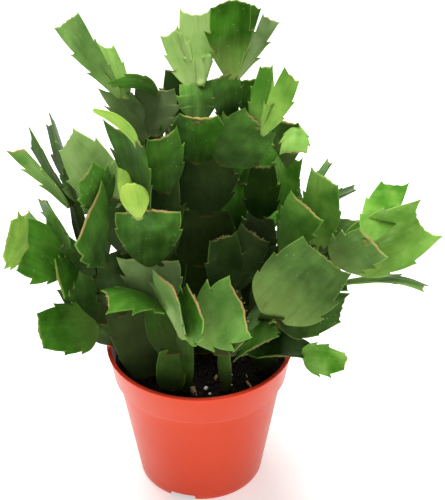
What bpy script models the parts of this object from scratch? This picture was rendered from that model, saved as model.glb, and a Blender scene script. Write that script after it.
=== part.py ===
"""A potted holiday cactus: arching stems of flat, toothed segments in a tapered nursery pot.

The plant is several rooted cuttings. Each one is a chain of pads (the flat stem segments): every
pad grows out of the tip of the one below it, and old pads near the soil have turned woody.
Sizes are in millimetres and become metres where a mesh is made (MM).
Frame: +Z up, origin in the middle of the pot's underside, the front towards -Y.
"""

import math

import bmesh
import bpy
import numpy as np

MM = 0.001
MERGE = 0.003
FLAT_ANGLE = math.radians(4)

# Pot: a four inch nursery pot, measured across its rim
RIM_RADIUS = 51.0
POT_HEIGHT = 85.0
FOOT_RADIUS = 35.0
WALL = 1.4
FLOOR = 1.8
COLLAR_HEIGHT = 19.0
COLLAR_STEP = 2.2
COLLAR_TAPER = 2.6
SHOULDER_RADIUS = 45.4
LIP_WIDTH = 2.4
POT_SIDES = 40
DRAIN_COUNT = 3
DRAIN_WIDTH = 15.0
DRAIN_HEIGHT = 3.6
DRAIN_DEPTH = 9.0
DRAIN_OVERCUT = 4.0
LIP_DEPTH = 1.6
EDGE_ROUND = 0.6
FOOT_ROUND = 1.0
DRAIN_FIRST_ANGLE = math.radians(253)

# Potting mix
SOIL_Z = 74.0
SOIL_GAP = 0.3
SOIL_RINGS = (7.0, 14.0, 21.0, 28.0, 34.0, 40.0, 45.0)
SOIL_SECTORS = 30
SOIL_EDGE_DROP = 0.8
STEP_FILL = (0.5, 2.2)
HUMP_HEIGHT = 0.7
HUMPS_PER_MM = (0.11, 0.13)
HUMP_STARTS = (0.6, -0.4)
CRUMB_HEIGHT = 1.1
SEED = 11

# Pads: half thicknesses at the midrib and at the margin, and how far a pad's foot sinks in
THICK_MID = 1.2
THICK_RIM = 0.42
FOOT_SWELL = 1.25
TIP_THINNING = 0.8
PLATE_HALF = 0.75
SINK = 2.5
STACK = 1.5
JOINT_STATION = 0.97
RIB_ROUNDING = 2.0

# Pegs: the rooted foot of a stem, in a plain hole in the mix
PEG_DEPTH = 12.0
PEG_MARGIN = 0.2
PEG_HALF_THICK = 1.7
PEG_TAPER = 0.8
PEG_SIDES = 8
PEG_TOP = 2.0
HOLE_GAP = 0.3
MOUTH_GAP = 3.6
MOUTH_LEVELS = (-3.0, 2.0)
PAD_START_Z = SOIL_Z + 1.0

# Sketch sheet: the pads seen from the front are placed on a plane that leans back, drawn in
# perspective. On it u runs right from the pot's axis, v runs up the sheet and d comes forward.
LEAN_BACK = math.radians(32)
EYE_TO_AXIS = 620.0
EYE_TO_SHEET = 594.5
EYE_U = 12.25
EYE_V = 75.0
AIM = np.array([12.3, 0.0, 143.5])
RIGHT = np.array([1.0, 0.0, 0.0])
UP = np.array([0.0, math.sin(LEAN_BACK), math.cos(LEAN_BACK)])
NEAR = np.array([0.0, -math.cos(LEAN_BACK), math.sin(LEAN_BACK)])


def sheet(point):
    """The place in the room of a point (u, v, d) on the sketch sheet."""
    u, v, d = point
    spread = (EYE_TO_AXIS - d) / EYE_TO_SHEET
    return AIM + d * NEAR + spread * ((u - EYE_U) * RIGHT + (v - EYE_V) * UP)


def room(point):
    """A place given straight in the room, for the pads behind."""
    return np.array(point, float)


# Outlines: for each row across a pad, how far along the pad its midrib point and its margin points
# lie, and the half width there, as shares. Two rows at one margin station make a tooth.
NARROW_ROWS = [
    (0.00, 0.00, 0.20),
    (0.16, 0.16, 0.42),
    (0.38, 0.42, 0.84),
    (0.43, 0.42, 0.75),
    (0.66, 0.70, 1.02),
    (0.71, 0.70, 0.90),
    (0.90, 0.91, 0.84),
]
ROUND_ROWS = [
    (0.00, 0.00, 0.20),
    (0.16, 0.16, 0.74),
    (0.38, 0.42, 1.04),
    (0.43, 0.42, 0.95),
    (0.66, 0.70, 1.02),
    (0.71, 0.70, 0.90),
    (0.90, 0.91, 0.84),
]
WOODY_ROWS = [(0.00, 0.00, 0.55), (0.20, 0.20, 0.83), (0.52, 0.52, 1.00), (0.90, 0.90, 0.85)]
YOUNG_ROWS = [
    (0.00, 0.00, 0.22),
    (0.12, 0.12, 0.62),
    (0.30, 0.30, 0.95),
    (0.52, 0.52, 1.00),
    (0.74, 0.74, 0.86),
    (0.90, 0.92, 0.66),
]

# Horns, the two points at a pad's tip: station of a horn, its half width as a share of the pad's,
# station of the tip edge, and the half width of that edge's straight middle as a share
MATURE = "mature"
WOODY = "woody"
YOUNG = "young"
HORNS = {MATURE: (1.06, 0.80, 1.00, 0.58), WOODY: (1.00, 0.80, 1.00, 0.50), YOUNG: (1.01, 0.50, 1.00, 0.30)}
ROUND_FULLNESS = 0.35
SLIM_SHARE = 0.35
TIP_FROM = 0.8
TIP_ROW = 0.84
TIP_SHARE = 1.05

# Every stem: where its foot stands in the mix, how its points are given, and its pads. A pad has a
# number, the pad it grows from, how far along that pad's tip edge it sits (-1 left to 1 right), its
# left and right horn, how many degrees its halves fold up, how many degrees it bends along its
# length, how full its outline is, and its age. A pad with no parent stands in the mix, shifted by
# millimetres along X.
STEMS = {
    "front": ((-15, -30), sheet, [
        ("f1", None, 0, (-19, 25, 4), (-7, 25, 6), 5, 0, 1, WOODY),
        ("f2", "f1", -0.2, (-27, 48, 6), (-12, 47, 12), 5, 0, 1, WOODY),
        ("f3", "f2", 0, (-40.5, 70.5, 30), (-10, 69.5, 30), 12, 0, 0.8, MATURE),
        ("f4", "f3", 0, (-41, 95, 60), (-9, 95.5, 60), 8, 10, 0.84, MATURE),
        ("f6", "f4", 0, (-47, 140, 55), (-26.5, 127.5, 72), 12, 0, 0.8, MATURE),
        ("f7", "f6", 0.35, (-50.5, 148, 72), (-48, 143, 66), 40, -25, 0.85, YOUNG),
        ("f8", "f4", -0.35, (-36, 107.5, 64), (-30, 107.5, 64), 0, 0, 1.25, YOUNG),
        ("f9", "f4", -0.5, (-41, 115, 50), (-38, 120, 52), 10, 0, 0.9, YOUNG),
        ("f10", "f3", 0.5, (-24, 107, 40), (-10, 112, 42), 0, 0, 1.2, MATURE),
        ("f11", "f10", 0.2, (-25, 131, 60), (-11, 137, 58), -15, 0, 1.2, MATURE),
        ("f12", "f10", -0.2, (-27, 132, 50), (-19, 139, 50), 0, 0, 1.1, MATURE),
        ("f13", "f2", -0.1, (-50, 53, 38), (-46, 46.5, 54), 15, 62, 1.35, MATURE),
        ("f14", None, 7, (-10, 36, 17), (-3, 35, 23), 0, 0, 1, WOODY),
        ("f15", "f14", -0.3, (-23, 65, 42), (-10, 48, 58), 15, 0, 1.0, MATURE),
        ("f16", "f14", 0, (-6, 58, 40), (2, 40, 54), 10, 0, 1.1, MATURE),
        ("f17", "f14", 0.3, (15.5, 61.5, 46), (26.5, 31.5, 50), 22, 0, 0.9, MATURE),
        ("f18", "f12", 0.3, (-31, 157, 48), (-12, 156, 50), 0, 0, 1.0, MATURE),
        ("f19", "f18", 0, (-44, 162.3, 64), (-43, 158.3, 46), 20, -55, 1.2, MATURE),
        ("f20", "f12", -0.3, (-50, 156, 56), (-34, 154.5, 50), 0, 0, 1.1, MATURE),
        ("f21", "f20", 0, (-72, 186, 66), (-60.5, 194, 70), 35, 0, 0.76, MATURE),
        ("f22", "f20", 0.4, (-52, 180.5, 56), (-43.5, 178, 48), 0, -15, 1.2, MATURE),
    ]),
    "left": ((-39, -6), sheet, [
        ("l0", None, 0, (-44, 31.5, -20), (-35.5, 31.5, -21), 0, 0, 0.85, WOODY),
        ("l1", "l0", 0, (-59, 36, -16), (-45, 41, -10), 0, 0, 1.05, WOODY),
        ("l2", "l1", 0, (-78, 26, 20), (-81, 43, 16), 8, 10, 1.2, MATURE),
        ("l3", "l1", -0.5, (-70, 68, 8), (-57, 74, 14), 0, 0, 1.1, MATURE),
        ("l4", "l3", 0, (-91, 65, 26), (-86, 91, 30), 14, 0, 1.0, MATURE),
        ("l5", "l4", 0, (-98, 72, 40), (-94, 89.5, 42), 0, 0, 1.25, MATURE),
        ("l6", "l3", -0.4, (-91, 92.5, 8), (-86, 95, -2), 0, 0, 1.2, MATURE),
        ("l7", "l3", 0.2, (-67, 51, 30), (-72, 70, 30), 8, 0, 0.8, MATURE),
        ("l8", "l1", 0.6, (-57, 64, 6), (-48, 66, 10), 0, 0, 1.2, WOODY),
        ("l9", "l8", 0, (-70, 77, 22), (-65, 83, 32), 0, 0, 1.1, MATURE),
        ("l10", "l9", 0, (-80, 101, 36), (-76, 100, 48), 8, 0, 1.35, MATURE),
        ("l11", "l8", 0, (-65, 100.5, 8), (-60, 100.5, 14), 0, 0, 1.2, WOODY),
        ("l12", "l11", -0.5, (-95.5, 125, 26), (-86.5, 125, 34), 25, 0, 0.72, MATURE),
        ("l13", "l11", -0.2, (-85, 127, 8), (-85.7, 136.5, 14), 20, 0, 0.9, MATURE),
        ("l14", "l11", 0.2, (-76.5, 138, -4), (-75, 143.5, 12), 20, 0, 1.0, MATURE),
        ("l15", "l11", 0.6, (-68, 121, 6), (-60, 128, 0), 8, 0, 1.3, MATURE),
    ]),
    "side": ((-26, -18), sheet, [
        ("s1", None, 0, (-46, 44, 2), (-27, 46, -2), 10, 0, 1.05, WOODY),
        ("s2", "s1", -0.3, (-50, 72, 22), (-36, 79, 28), 0, 0, 1.2, MATURE),
        ("s3", "s2", 0.6, (-50, 102, 40), (-38, 102, 42), 8, 0, 1.1, MATURE),
        ("s4", "s2", -0.5, (-61, 78, 52), (-47, 109, 50), 8, 0, 0.85, MATURE),
        ("s5", "s3", 0.65, (-70, 125, 30), (-63.5, 136, 36), 8, -15, 1.6, MATURE),
        ("s6", "s3", -0.4, (-60, 109, 54), (-53, 119, 56), 0, 0, 1.5, MATURE),
    ]),
    "middle": ((2, 2), sheet, [
        ("m1", None, 0, (-4, 43, -24), (9, 43, -24), 0, 0, 1, WOODY),
        ("m2", "m1", 0, (-5, 70, -6), (11, 70, -6), 0, 0, 1, WOODY),
        ("m3", "m2", 0, (-8, 95, 10), (15, 95, 10), 0, 0, 1.1, WOODY),
        ("m4", "m3", 0, (-9, 124, 26), (16, 124, 26), 0, 0, 1.1, MATURE),
        ("m5", "m4", -0.3, (-9, 144, 48), (10, 143, 50), -10, 0, 1.3, MATURE),
        ("m6", "m4", 0.6, (24, 146, 56), (39, 134, 50), 0, 0, 1.3, MATURE),
        ("m7", "m5", 0, (-9, 158, 42), (8.5, 161, 36), -12, -10, 0.95, MATURE),
        ("m8", "m7", 0.1, (-9.5, 196.5, 42), (5, 196, 46), 20, 0, 1.0, MATURE),
        ("m9", "m7", -0.25, (-18.5, 182.5, 36), (-10.5, 188, 40), 10, 0, 1.1, MATURE),
        ("m10", "m7", 0.2, (3, 191, 38), (7.5, 193, 28), 0, 0, 0.95, MATURE),
        ("m11", "m4", 0.5, (12, 142, 34), (26, 143, 36), 0, 0, 1.1, MATURE),
        ("m12", "m11", -0.5, (7, 161, 58), (20, 166, 54), 8, 0, 0.95, MATURE),
        ("m13", "m12", 0.5, (6.5, 196, 60), (26, 198, 64), 18, 0, 0.95, MATURE),
        ("m14", "m12", 0.75, (25.5, 199, 52), (31.5, 196.5, 50), 0, 0, 1.1, MATURE),
        ("m15", "m12", 1.0, (33, 194, 66), (41, 190, 62), 20, 0, 0.74, MATURE),
        ("m16", "m11", 0.9, (21, 161, 44), (30, 162, 42), 0, 0, 1.0, MATURE),
        ("m17", "m6", 0.1, (31.5, 168, 62), (37.5, 168.5, 64), 10, 0, 1.6, MATURE),
        ("m18", "m6", 0.4, (44, 167, 66), (51, 160, 62), 18, 0, 1.12, MATURE),
        ("m19", "m4", -0.5, (-16, 142, 30), (-5, 142, 32), 0, 0, 1.1, MATURE),
        ("m20", "m19", 0, (-16, 166, 38), (-4, 168, 40), 0, 0, 1.2, MATURE),
    ]),
    "centre": ((14, -30), sheet, [
        ("c1", None, 0, (10.5, 25, 4), (16, 25, 6), 0, 0, 1, WOODY),
        ("c2", "c1", 0, (5, 55, 16), (21, 55.5, 18), 0, 0, 1, WOODY),
        ("c3", "c2", 0, (6, 80, 36), (19, 84, 34), 20, 0, 1.2, MATURE),
        ("c4", "c2", 0.3, (22, 89, 26), (36, 80, 24), 8, 0, 1.0, MATURE),
    ]),
    "right": ((34, -12), sheet, [
        ("r1", None, 0, (31, 35, -10), (42, 34, -6), 0, 0, 1, WOODY),
        ("r2", "r1", 0.5, (30, 21, 12), (52, 21, 14), 6, 0, 1.3, MATURE),
        ("r3", "r2", 0.9, (74, 24, 25), (73.5, 16, 20), 6, -15, 1.55, MATURE),
        ("r4", "r1", -0.1, (33, 58, 6), (44, 58, 8), 0, 0, 1.1, WOODY),
        ("r5", "r1", 0.2, (31, 42, 30), (43, 40, 30), 0, 0, 1.1, WOODY),
        ("r6", "r5", -0.3, (53, 82, 50), (76.5, 63.5, 44), 8, 8, 1.08, MATURE),
        ("r7", "r5", 0.6, (76, 53, 20), (72, 39, 24), 0, 10, 1.3, MATURE),
        ("r8", "r4", 0, (18, 24, 26), (37, 38, 32), 0, 0, 0.9, MATURE),
        ("r9", "r5", -0.3, (18.5, 19, 34), (40, 31.5, 36), 8, 0, 0.7, MATURE),
    ]),
    "outer": ((28, 8), sheet, [
        ("o1", None, 0, (20, 47, -25), (36, 47, -25), 0, 0, 1, WOODY),
        ("o2", "o1", 0.2, (36, 77, 4), (47, 77, 8), 0, 0, 1.1, WOODY),
        ("o3", "o2", 0.3, (46.5, 104.5, 38), (62.5, 90, 42), 8, 0, 0.85, MATURE),
        ("o4", "o2", 0, (43, 124, 12), (52, 122, 18), 8, 0, 0.95, MATURE),
        ("o6", "o4", -0.5, (36, 141.5, 36), (50, 138.5, 36), 8, 0, 1.0, MATURE),
        ("o5", "o6", 0.9, (54, 122.5, 42), (41, 122.5, 44), -8, -20, 0.9, MATURE),
        ("o8", "o1", -0.2, (26, 74, -8), (37, 74, -6), 0, 0, 1.1, WOODY),
        ("o9", "o8", 0, (25.5, 98, 12), (37, 90, 14), 6, 0, 1.2, MATURE),
        ("o10", "o9", 0, (27, 118, 26), (38, 118, 28), 0, 0, 1.3, MATURE),
        ("o11", "o1", 0.5, (46, 60, -10), (54, 62, -6), 0, 0, 1.1, WOODY),
        ("o12", "o11", -0.6, (53, 78, 10), (68, 76, 14), 0, 0, 1.1, WOODY),
        ("o13", "o12", 0, (57.5, 117, 30), (70.5, 108.5, 34), 12, 8, 1.15, MATURE),
        ("o14", "o12", -0.3, (52, 100, 4), (60, 100, 6), 0, 0, 1.1, MATURE),
        ("o15", "o14", 0, (65, 121, 12), (67, 119, 22), 0, 0, 1.1, MATURE),
        ("o16", "o14", 0.3, (78.5, 108, 8), (79, 105.5, 22), 10, 0, 1.0, MATURE),
        ("o17", "o12", 0.3, (71, 92, 16), (82.5, 90.5, 20), 10, 0, 0.95, MATURE),
        ("o18", "o11", 0.7, (66, 74, 12), (74, 68, 16), 0, 0, 1.1, WOODY),
        ("o19", "o18", 0, (81, 86, 42), (95, 71.5, 44), 8, 0, 0.98, MATURE),
        ("o20", "o18", 0.5, (112, 100, 34), (122.5, 82, 30), 22, 0, 1.22, MATURE),
        ("o21", "o19", -0.2, (92, 110, 10), (105.5, 109, 6), 8, 0, 1.15, MATURE),
        ("o22", "o11", 0.5, (73, 61, 4), (75, 55, 10), 0, 0, 1.1, WOODY),
        ("o23", "o22", 0, (116, 58.5, 16), (114, 55.5, 24), 10, -35, 1.1, MATURE),
    ]),
    "back_left": ((-14, 20), room, [
        ("p1", None, 0, (-22, 20, 104), (-8, 24, 106), 0, 0, 1, WOODY),
        ("p2", "p1", 0, (-27, 22, 138), (-12, 26, 140), 0, 0, 1, WOODY),
        ("p3", "p2", 0.2, (-25, 18, 172), (-6, 24, 174), 8, 0, 1.0, MATURE),
        ("p4", "p3", -0.4, (-37, 32, 200), (-24, 22, 205), 12, 10, 1.2, MATURE),
        ("p5", "p3", 0.4, (-15, 34, 206), (2, 28, 211), 10, -10, 1.0, MATURE),
        ("p6", "p2", -0.5, (-50, 38, 158), (-46, 20, 163), 8, 15, 1.1, MATURE),
        ("p7", "p6", 0.3, (-58, 60, 150), (-68, 45, 144), 15, 25, 1.2, MATURE),
        ("p8", "p1", -0.3, (-28, 54, 118), (-44, 40, 126), 6, 12, 0.95, MATURE),
        ("p9", "p8", 0.2, (-36, 76, 140), (-54, 64, 136), 18, 12, 1.0, MATURE),
        ("p10", "p9", 0, (-38, 96, 130), (-54, 90, 138), 8, 40, 1.3, MATURE),
        ("p11", "p8", 0.5, (-50, 76, 112), (-62, 60, 118), 14, 25, 0.9, MATURE),
    ]),
    "back_right": ((12, 22), room, [
        ("q1", None, 0, (6, 24, 104), (20, 24, 106), 0, 0, 1, WOODY),
        ("q2", "q1", 0, (8, 26, 138), (24, 28, 140), 0, 0, 1, WOODY),
        ("q3", "q2", 0, (10, 20, 172), (28, 28, 174), 8, 0, 0.95, MATURE),
        ("q4", "q3", -0.4, (4, 30, 204), (20, 36, 209), 14, 10, 1.2, MATURE),
        ("q5", "q3", 0.4, (29, 36, 196), (43, 24, 192), 8, 12, 1.0, MATURE),
        ("q6", "q2", 0.5, (45, 40, 160), (44, 22, 154), 8, 12, 1.1, MATURE),
        ("q7", "q6", -0.3, (56, 60, 152), (62, 42, 146), 20, 22, 1.0, MATURE),
        ("q8", "q6", 0.3, (34, 62, 178), (48, 50, 172), 6, -12, 1.2, MATURE),
        ("q9", "q1", 0.3, (26, 56, 118), (38, 42, 126), 6, 12, 0.9, MATURE),
        ("q10", "q9", 0, (34, 80, 136), (50, 68, 142), 16, 14, 1.1, MATURE),
        ("q11", "q10", 0.2, (30, 94, 160), (46, 84, 166), 6, -22, 1.0, MATURE),
        ("q12", "q9", 0.4, (54, 72, 116), (64, 54, 124), 14, 22, 1.1, MATURE),
        ("q13", "q12", 0, (72, 88, 102), (86, 72, 108), 8, 35, 1.3, MATURE),
        ("q14", "q10", -0.5, (14, 96, 146), (28, 88, 154), 12, 12, 1.1, MATURE),
    ]),
    "back": ((0, 34), room, [
        ("b1", None, 0, (-8, 42, 100), (8, 46, 102), 0, 0, 1, WOODY),
        ("b2", "b1", 0, (-9, 62, 120), (7, 58, 124), 6, 14, 0.9, MATURE),
        ("b3", "b2", 0, (-13, 80, 144), (5, 86, 142), 16, -10, 1.0, MATURE),
        ("b4", "b2", 0.4, (14, 88, 108), (24, 72, 114), 10, 30, 1.1, MATURE),
        ("b5", "b2", -0.4, (-17, 92, 106), (-30, 80, 112), 16, 30, 1.2, MATURE),
        ("b6", "b3", 0, (-15, 86, 172), (5, 92, 176), 8, -12, 1.1, MATURE),
    ]),
}


def unit(vector):
    return vector / np.linalg.norm(vector)


def outline_rows(pad):
    """The rows across a pad; a full mature pad is rounder towards its foot than a slim one."""
    if pad["age"] == WOODY:
        return WOODY_ROWS
    if pad["age"] == YOUNG:
        return YOUNG_ROWS
    share = min(max((pad["full"] - 1.0) / ROUND_FULLNESS, 0.0), 1.0)
    if share < SLIM_SHARE:
        return [NARROW_ROWS[0]] + NARROW_ROWS[2:]
    return [
        (rib, edge, (1 - share) * slim + share * wide)
        for (rib, edge, slim), (_, _, wide) in zip(NARROW_ROWS, ROUND_ROWS)
    ]


def laid_out(foot, left, right, fold, bend, full, age):
    """The frame and proportions of a pad that stands on foot and whose horns reach left and right."""
    horn_station, horn_share = HORNS[age][:2]
    tip = (left + right) / 2
    along = unit(tip - foot)
    span = right - left
    across = span - (span @ along) * along
    half = np.linalg.norm(across) / 2
    slant = (span @ along) / (2 * half)
    facing = np.cross(unit(across), along)
    fold = math.radians(fold)
    rib_tip = tip - facing * half * math.tan(fold)
    along = unit(rib_tip - foot)
    facing = unit(facing - (facing @ along) * along)
    horn_half = half / math.cos(fold)
    return {
        "foot": foot,
        "along": along,
        "across": np.cross(along, facing),
        "facing": facing,
        "length": np.linalg.norm(rib_tip - foot) / horn_station,
        "horn_half": horn_half,
        "half": horn_half / horn_share * full,
        "slant": slant,
        "fold": fold,
        "bend": math.radians(bend),
        "full": full,
        "age": age,
    }


def on_pad(pad, station, side, lift):
    """Points of a pad, bent and folded: station 0 to 1 along it, side and lift in millimetres."""
    station, side, lift = (np.asarray(values, float) for values in (station, side, lift))
    bend = pad["bend"]
    if abs(bend) < 1e-3:
        turn = np.zeros_like(station)
        forward = station * pad["length"]
        rise = np.zeros_like(station)
    else:
        turn = bend * (station - 0.5)
        radius = pad["length"] / (2 * math.sin(bend / 2))
        forward = radius * (np.sin(turn) + math.sin(bend / 2))
        rise = -radius * (np.cos(turn) - math.cos(bend / 2))
    ahead = np.outer(np.cos(turn), pad["along"]) + np.outer(np.sin(turn), pad["facing"])
    above = np.outer(np.cos(turn), pad["facing"]) - np.outer(np.sin(turn), pad["along"])
    rib = pad["foot"] + np.outer(forward, pad["along"]) + np.outer(rise, pad["facing"])
    out = side * math.cos(pad["fold"])
    folded = (np.sqrt(side**2 + RIB_ROUNDING**2) - RIB_ROUNDING) * math.sin(pad["fold"])
    slid = pad["slant"] * out * np.clip(station, 0, 1.1)
    return rib + ahead * slid[:, None] + np.outer(out, pad["across"]) + above * (folded + lift)[:, None]


def stacked(parent, row, rows, place, facing):
    """How far in front of its parent's middle a pad's foot stands, so that sisters lie in layers."""

    def reach(sister):
        return float((place(sister[3]) + place(sister[4])) @ facing)

    sisters = sorted((other for other in rows if other[1] == parent), key=reach)
    return STACK * (sisters.index(row) - (len(sisters) - 1) / 2)


def grown(stems):
    """Every pad of every stem, each placed on the tip edge of the pad it grows from."""
    plant = {}
    for stem, (stand, place, rows) in stems.items():
        pads = {}
        for row in rows:
            number, parent, shift, left, right, fold, bend, full, age = row
            left = place(left)
            right = place(right)
            if parent is None:
                foot = np.array([stand[0] + shift, stand[1], PAD_START_Z])
            else:
                below = pads[parent]
                edge = shift * below["half"] * HORNS[below["age"]][1]
                lift = stacked(parent, row, rows, place, below["facing"])
                foot = on_pad(below, [JOINT_STATION], [edge], [lift])[0]
                heading = unit((left + right) / 2 - foot)
                foot = foot - SINK * unit(heading + below["along"])
            pads[number] = laid_out(foot, left, right, fold, bend, full, age)
            pads[number]["rooted"] = parent is None
            pads[number]["ribbed"] = place is sheet or age == WOODY
        plant[stem] = pads
    return plant


def pad_points(pad):
    """Station, side and lift of the upper skin's points: the rows from foot to tip, then the horns."""
    horn_station, horn_share, edge_station, edge_share = HORNS[pad["age"]]
    horn = pad["horn_half"]
    points = []
    for rib, edge, share in outline_rows(pad):
        half = share * pad["half"]
        if pad["age"] == MATURE and edge > TIP_FROM:
            half = share / TIP_ROW * horn * TIP_SHARE
        swell = FOOT_SWELL if rib == 0 else 1.0
        points.append((edge, -half, THICK_RIM))
        if pad["ribbed"]:
            points.append((rib, 0.0, THICK_MID * swell))
        points.append((edge, half, THICK_RIM))
    inner = horn * edge_share / horn_share
    points.append((edge_station, -inner, THICK_RIM))
    if pad["ribbed"]:
        points.append((edge_station, 0.0, THICK_MID * TIP_THINNING))
    points.append((edge_station, inner, THICK_RIM))
    return points + [(horn_station, -horn, THICK_RIM), (horn_station, horn, THICK_RIM)]


def pad_mesh(pad):
    """Points and triangles of a pad: a skin of triangles over its outline, its mirror and a rim."""
    points = pad_points(pad)
    horn_left, horn_right = len(points) - 2, len(points) - 1
    columns = 3 if pad["ribbed"] else 2
    rows = horn_left // columns
    skin = []
    for row in range(rows - 1):
        for column in range(columns - 1):
            near = columns * row + column
            far = near + columns
            if column == 0:
                skin += [(near, near + 1, far + 1), (near, far + 1, far)]
            else:
                skin += [(near, near + 1, far), (near + 1, far + 1, far)]
    wide = columns * (rows - 2)
    edge = wide + columns
    skin += [(wide, edge, horn_left), (edge - 1, horn_right, edge + columns - 1)]
    rim = list(range(columns))
    rim += [columns * row + columns - 1 for row in range(1, rows - 1)]
    rim += [horn_right]
    rim += list(range(edge + columns - 1, edge - 1, -1))
    rim += [horn_left]
    rim += [columns * row for row in range(rows - 2, 0, -1)]
    count = len(points)
    faces = skin + [(a + count, c + count, b + count) for a, b, c in skin]
    for here, there in zip(rim, rim[1:] + rim[:1]):
        faces += [(here, here + count, there + count), (here, there + count, there)]
    station, side, lift = (list(values) for values in zip(*points))
    if not pad["ribbed"]:
        lift = [PLATE_HALF] * count
    return on_pad(pad, station * 2, side * 2, lift + [-value for value in lift]), faces


def stem_roots(pads):
    """A stem's pegs: the middle of each rooted pad's foot, the way its width runs and its half width."""
    roots = []
    for pad in pads.values():
        if pad["rooted"]:
            heading = math.atan2(pad["across"][1], pad["across"][0])
            foot_half = outline_rows(pad)[0][2] * pad["half"]
            roots.append((pad["foot"][0], pad["foot"][1], heading, foot_half + PEG_MARGIN))
    return roots


def clear_scene():
    for item in list(bpy.data.objects):
        bpy.data.objects.remove(item, do_unlink=True)


def plain_material(name, hex_colour, roughness):
    """A Principled material of one sRGB colour."""
    material = bpy.data.materials.new(name)
    material.use_nodes = True
    shader = material.node_tree.nodes["Principled BSDF"]
    channels = [int(hex_colour[i : i + 2], 16) / 255 for i in (1, 3, 5)]
    linear = [c / 12.92 if c <= 0.04045 else ((c + 0.055) / 1.055) ** 2.4 for c in channels]
    shader.inputs["Base Color"].default_value = (*linear, 1.0)
    shader.inputs["Roughness"].default_value = roughness
    material.diffuse_color = (*linear, 1.0)
    return material


def object_from(name, points, faces, material=None):
    """An object whose mesh has the given points, in millimetres, and faces."""
    mesh = bpy.data.meshes.new(name)
    mesh.from_pydata([tuple(float(c) * MM for c in point) for point in points], [], faces)
    mesh.update()
    item = bpy.data.objects.new(name, mesh)
    bpy.context.scene.collection.objects.link(item)
    if material:
        mesh.materials.append(material)
    return item


def tidy_mesh(item):
    """Joins the flat splits that a union leaves, then cuts what is left into triangles."""
    work = bmesh.new()
    work.from_mesh(item.data)
    bmesh.ops.remove_doubles(work, verts=work.verts, dist=MERGE * MM)
    bmesh.ops.dissolve_limit(work, angle_limit=FLAT_ANGLE, verts=work.verts, edges=work.edges)
    bmesh.ops.triangulate(work, faces=work.faces)
    bmesh.ops.dissolve_degenerate(work, edges=work.edges, dist=MERGE * MM)
    work.to_mesh(item.data)
    work.free()


def join_by_boolean(item, others, operation):
    """Unites item with the others, or cuts them from it, and removes them."""
    group = bpy.data.collections.new("operands")
    bpy.context.scene.collection.children.link(group)
    for other in others:
        for home in list(other.users_collection):
            home.objects.unlink(other)
        group.objects.link(other)
    modifier = item.modifiers.new("join", "BOOLEAN")
    modifier.operation = operation
    modifier.operand_type = "COLLECTION"
    modifier.collection = group
    modifier.solver = "MANIFOLD"
    graph = bpy.context.evaluated_depsgraph_get()
    joined = bpy.data.meshes.new_from_object(item.evaluated_get(graph))
    item.modifiers.remove(modifier)
    item.data = joined
    for other in others:
        bpy.data.objects.remove(other, do_unlink=True)
    bpy.data.collections.remove(group)


def turned(name, profile, sides, material):
    """A solid of revolution from a profile of (radius, z) that starts and ends on the axis."""
    work = bmesh.new()
    ring = [work.verts.new((radius * MM, 0.0, z * MM)) for radius, z in profile]
    edges = [work.edges.new(pair) for pair in zip(ring, ring[1:])]
    bmesh.ops.spin(
        work,
        geom=ring + edges,
        cent=(0, 0, 0),
        axis=(0, 0, 1),
        angle=2 * math.pi,
        steps=sides,
        use_merge=True,
    )
    bmesh.ops.remove_doubles(work, verts=work.verts, dist=MERGE * MM)
    bmesh.ops.recalc_face_normals(work, faces=work.faces)
    mesh = bpy.data.meshes.new(name)
    work.to_mesh(mesh)
    work.free()
    mesh.materials.append(material)
    item = bpy.data.objects.new(name, mesh)
    bpy.context.scene.collection.objects.link(item)
    return item


def smooth_with_edges(item, degrees):
    item.data.shade_smooth()
    item.data.set_sharp_from_angle(angle=math.radians(degrees))


COLLAR_FOOT_Z = POT_HEIGHT - COLLAR_HEIGHT
COLLAR_FOOT_RADIUS = SHOULDER_RADIUS + COLLAR_STEP
INNER_COLLAR_RADIUS = COLLAR_FOOT_RADIUS - WALL
INNER_RIM_RADIUS = RIM_RADIUS - LIP_WIDTH
INNER_BODY_RADIUS = SHOULDER_RADIUS - WALL
INNER_FOOT_RADIUS = FOOT_RADIUS - WALL


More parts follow.
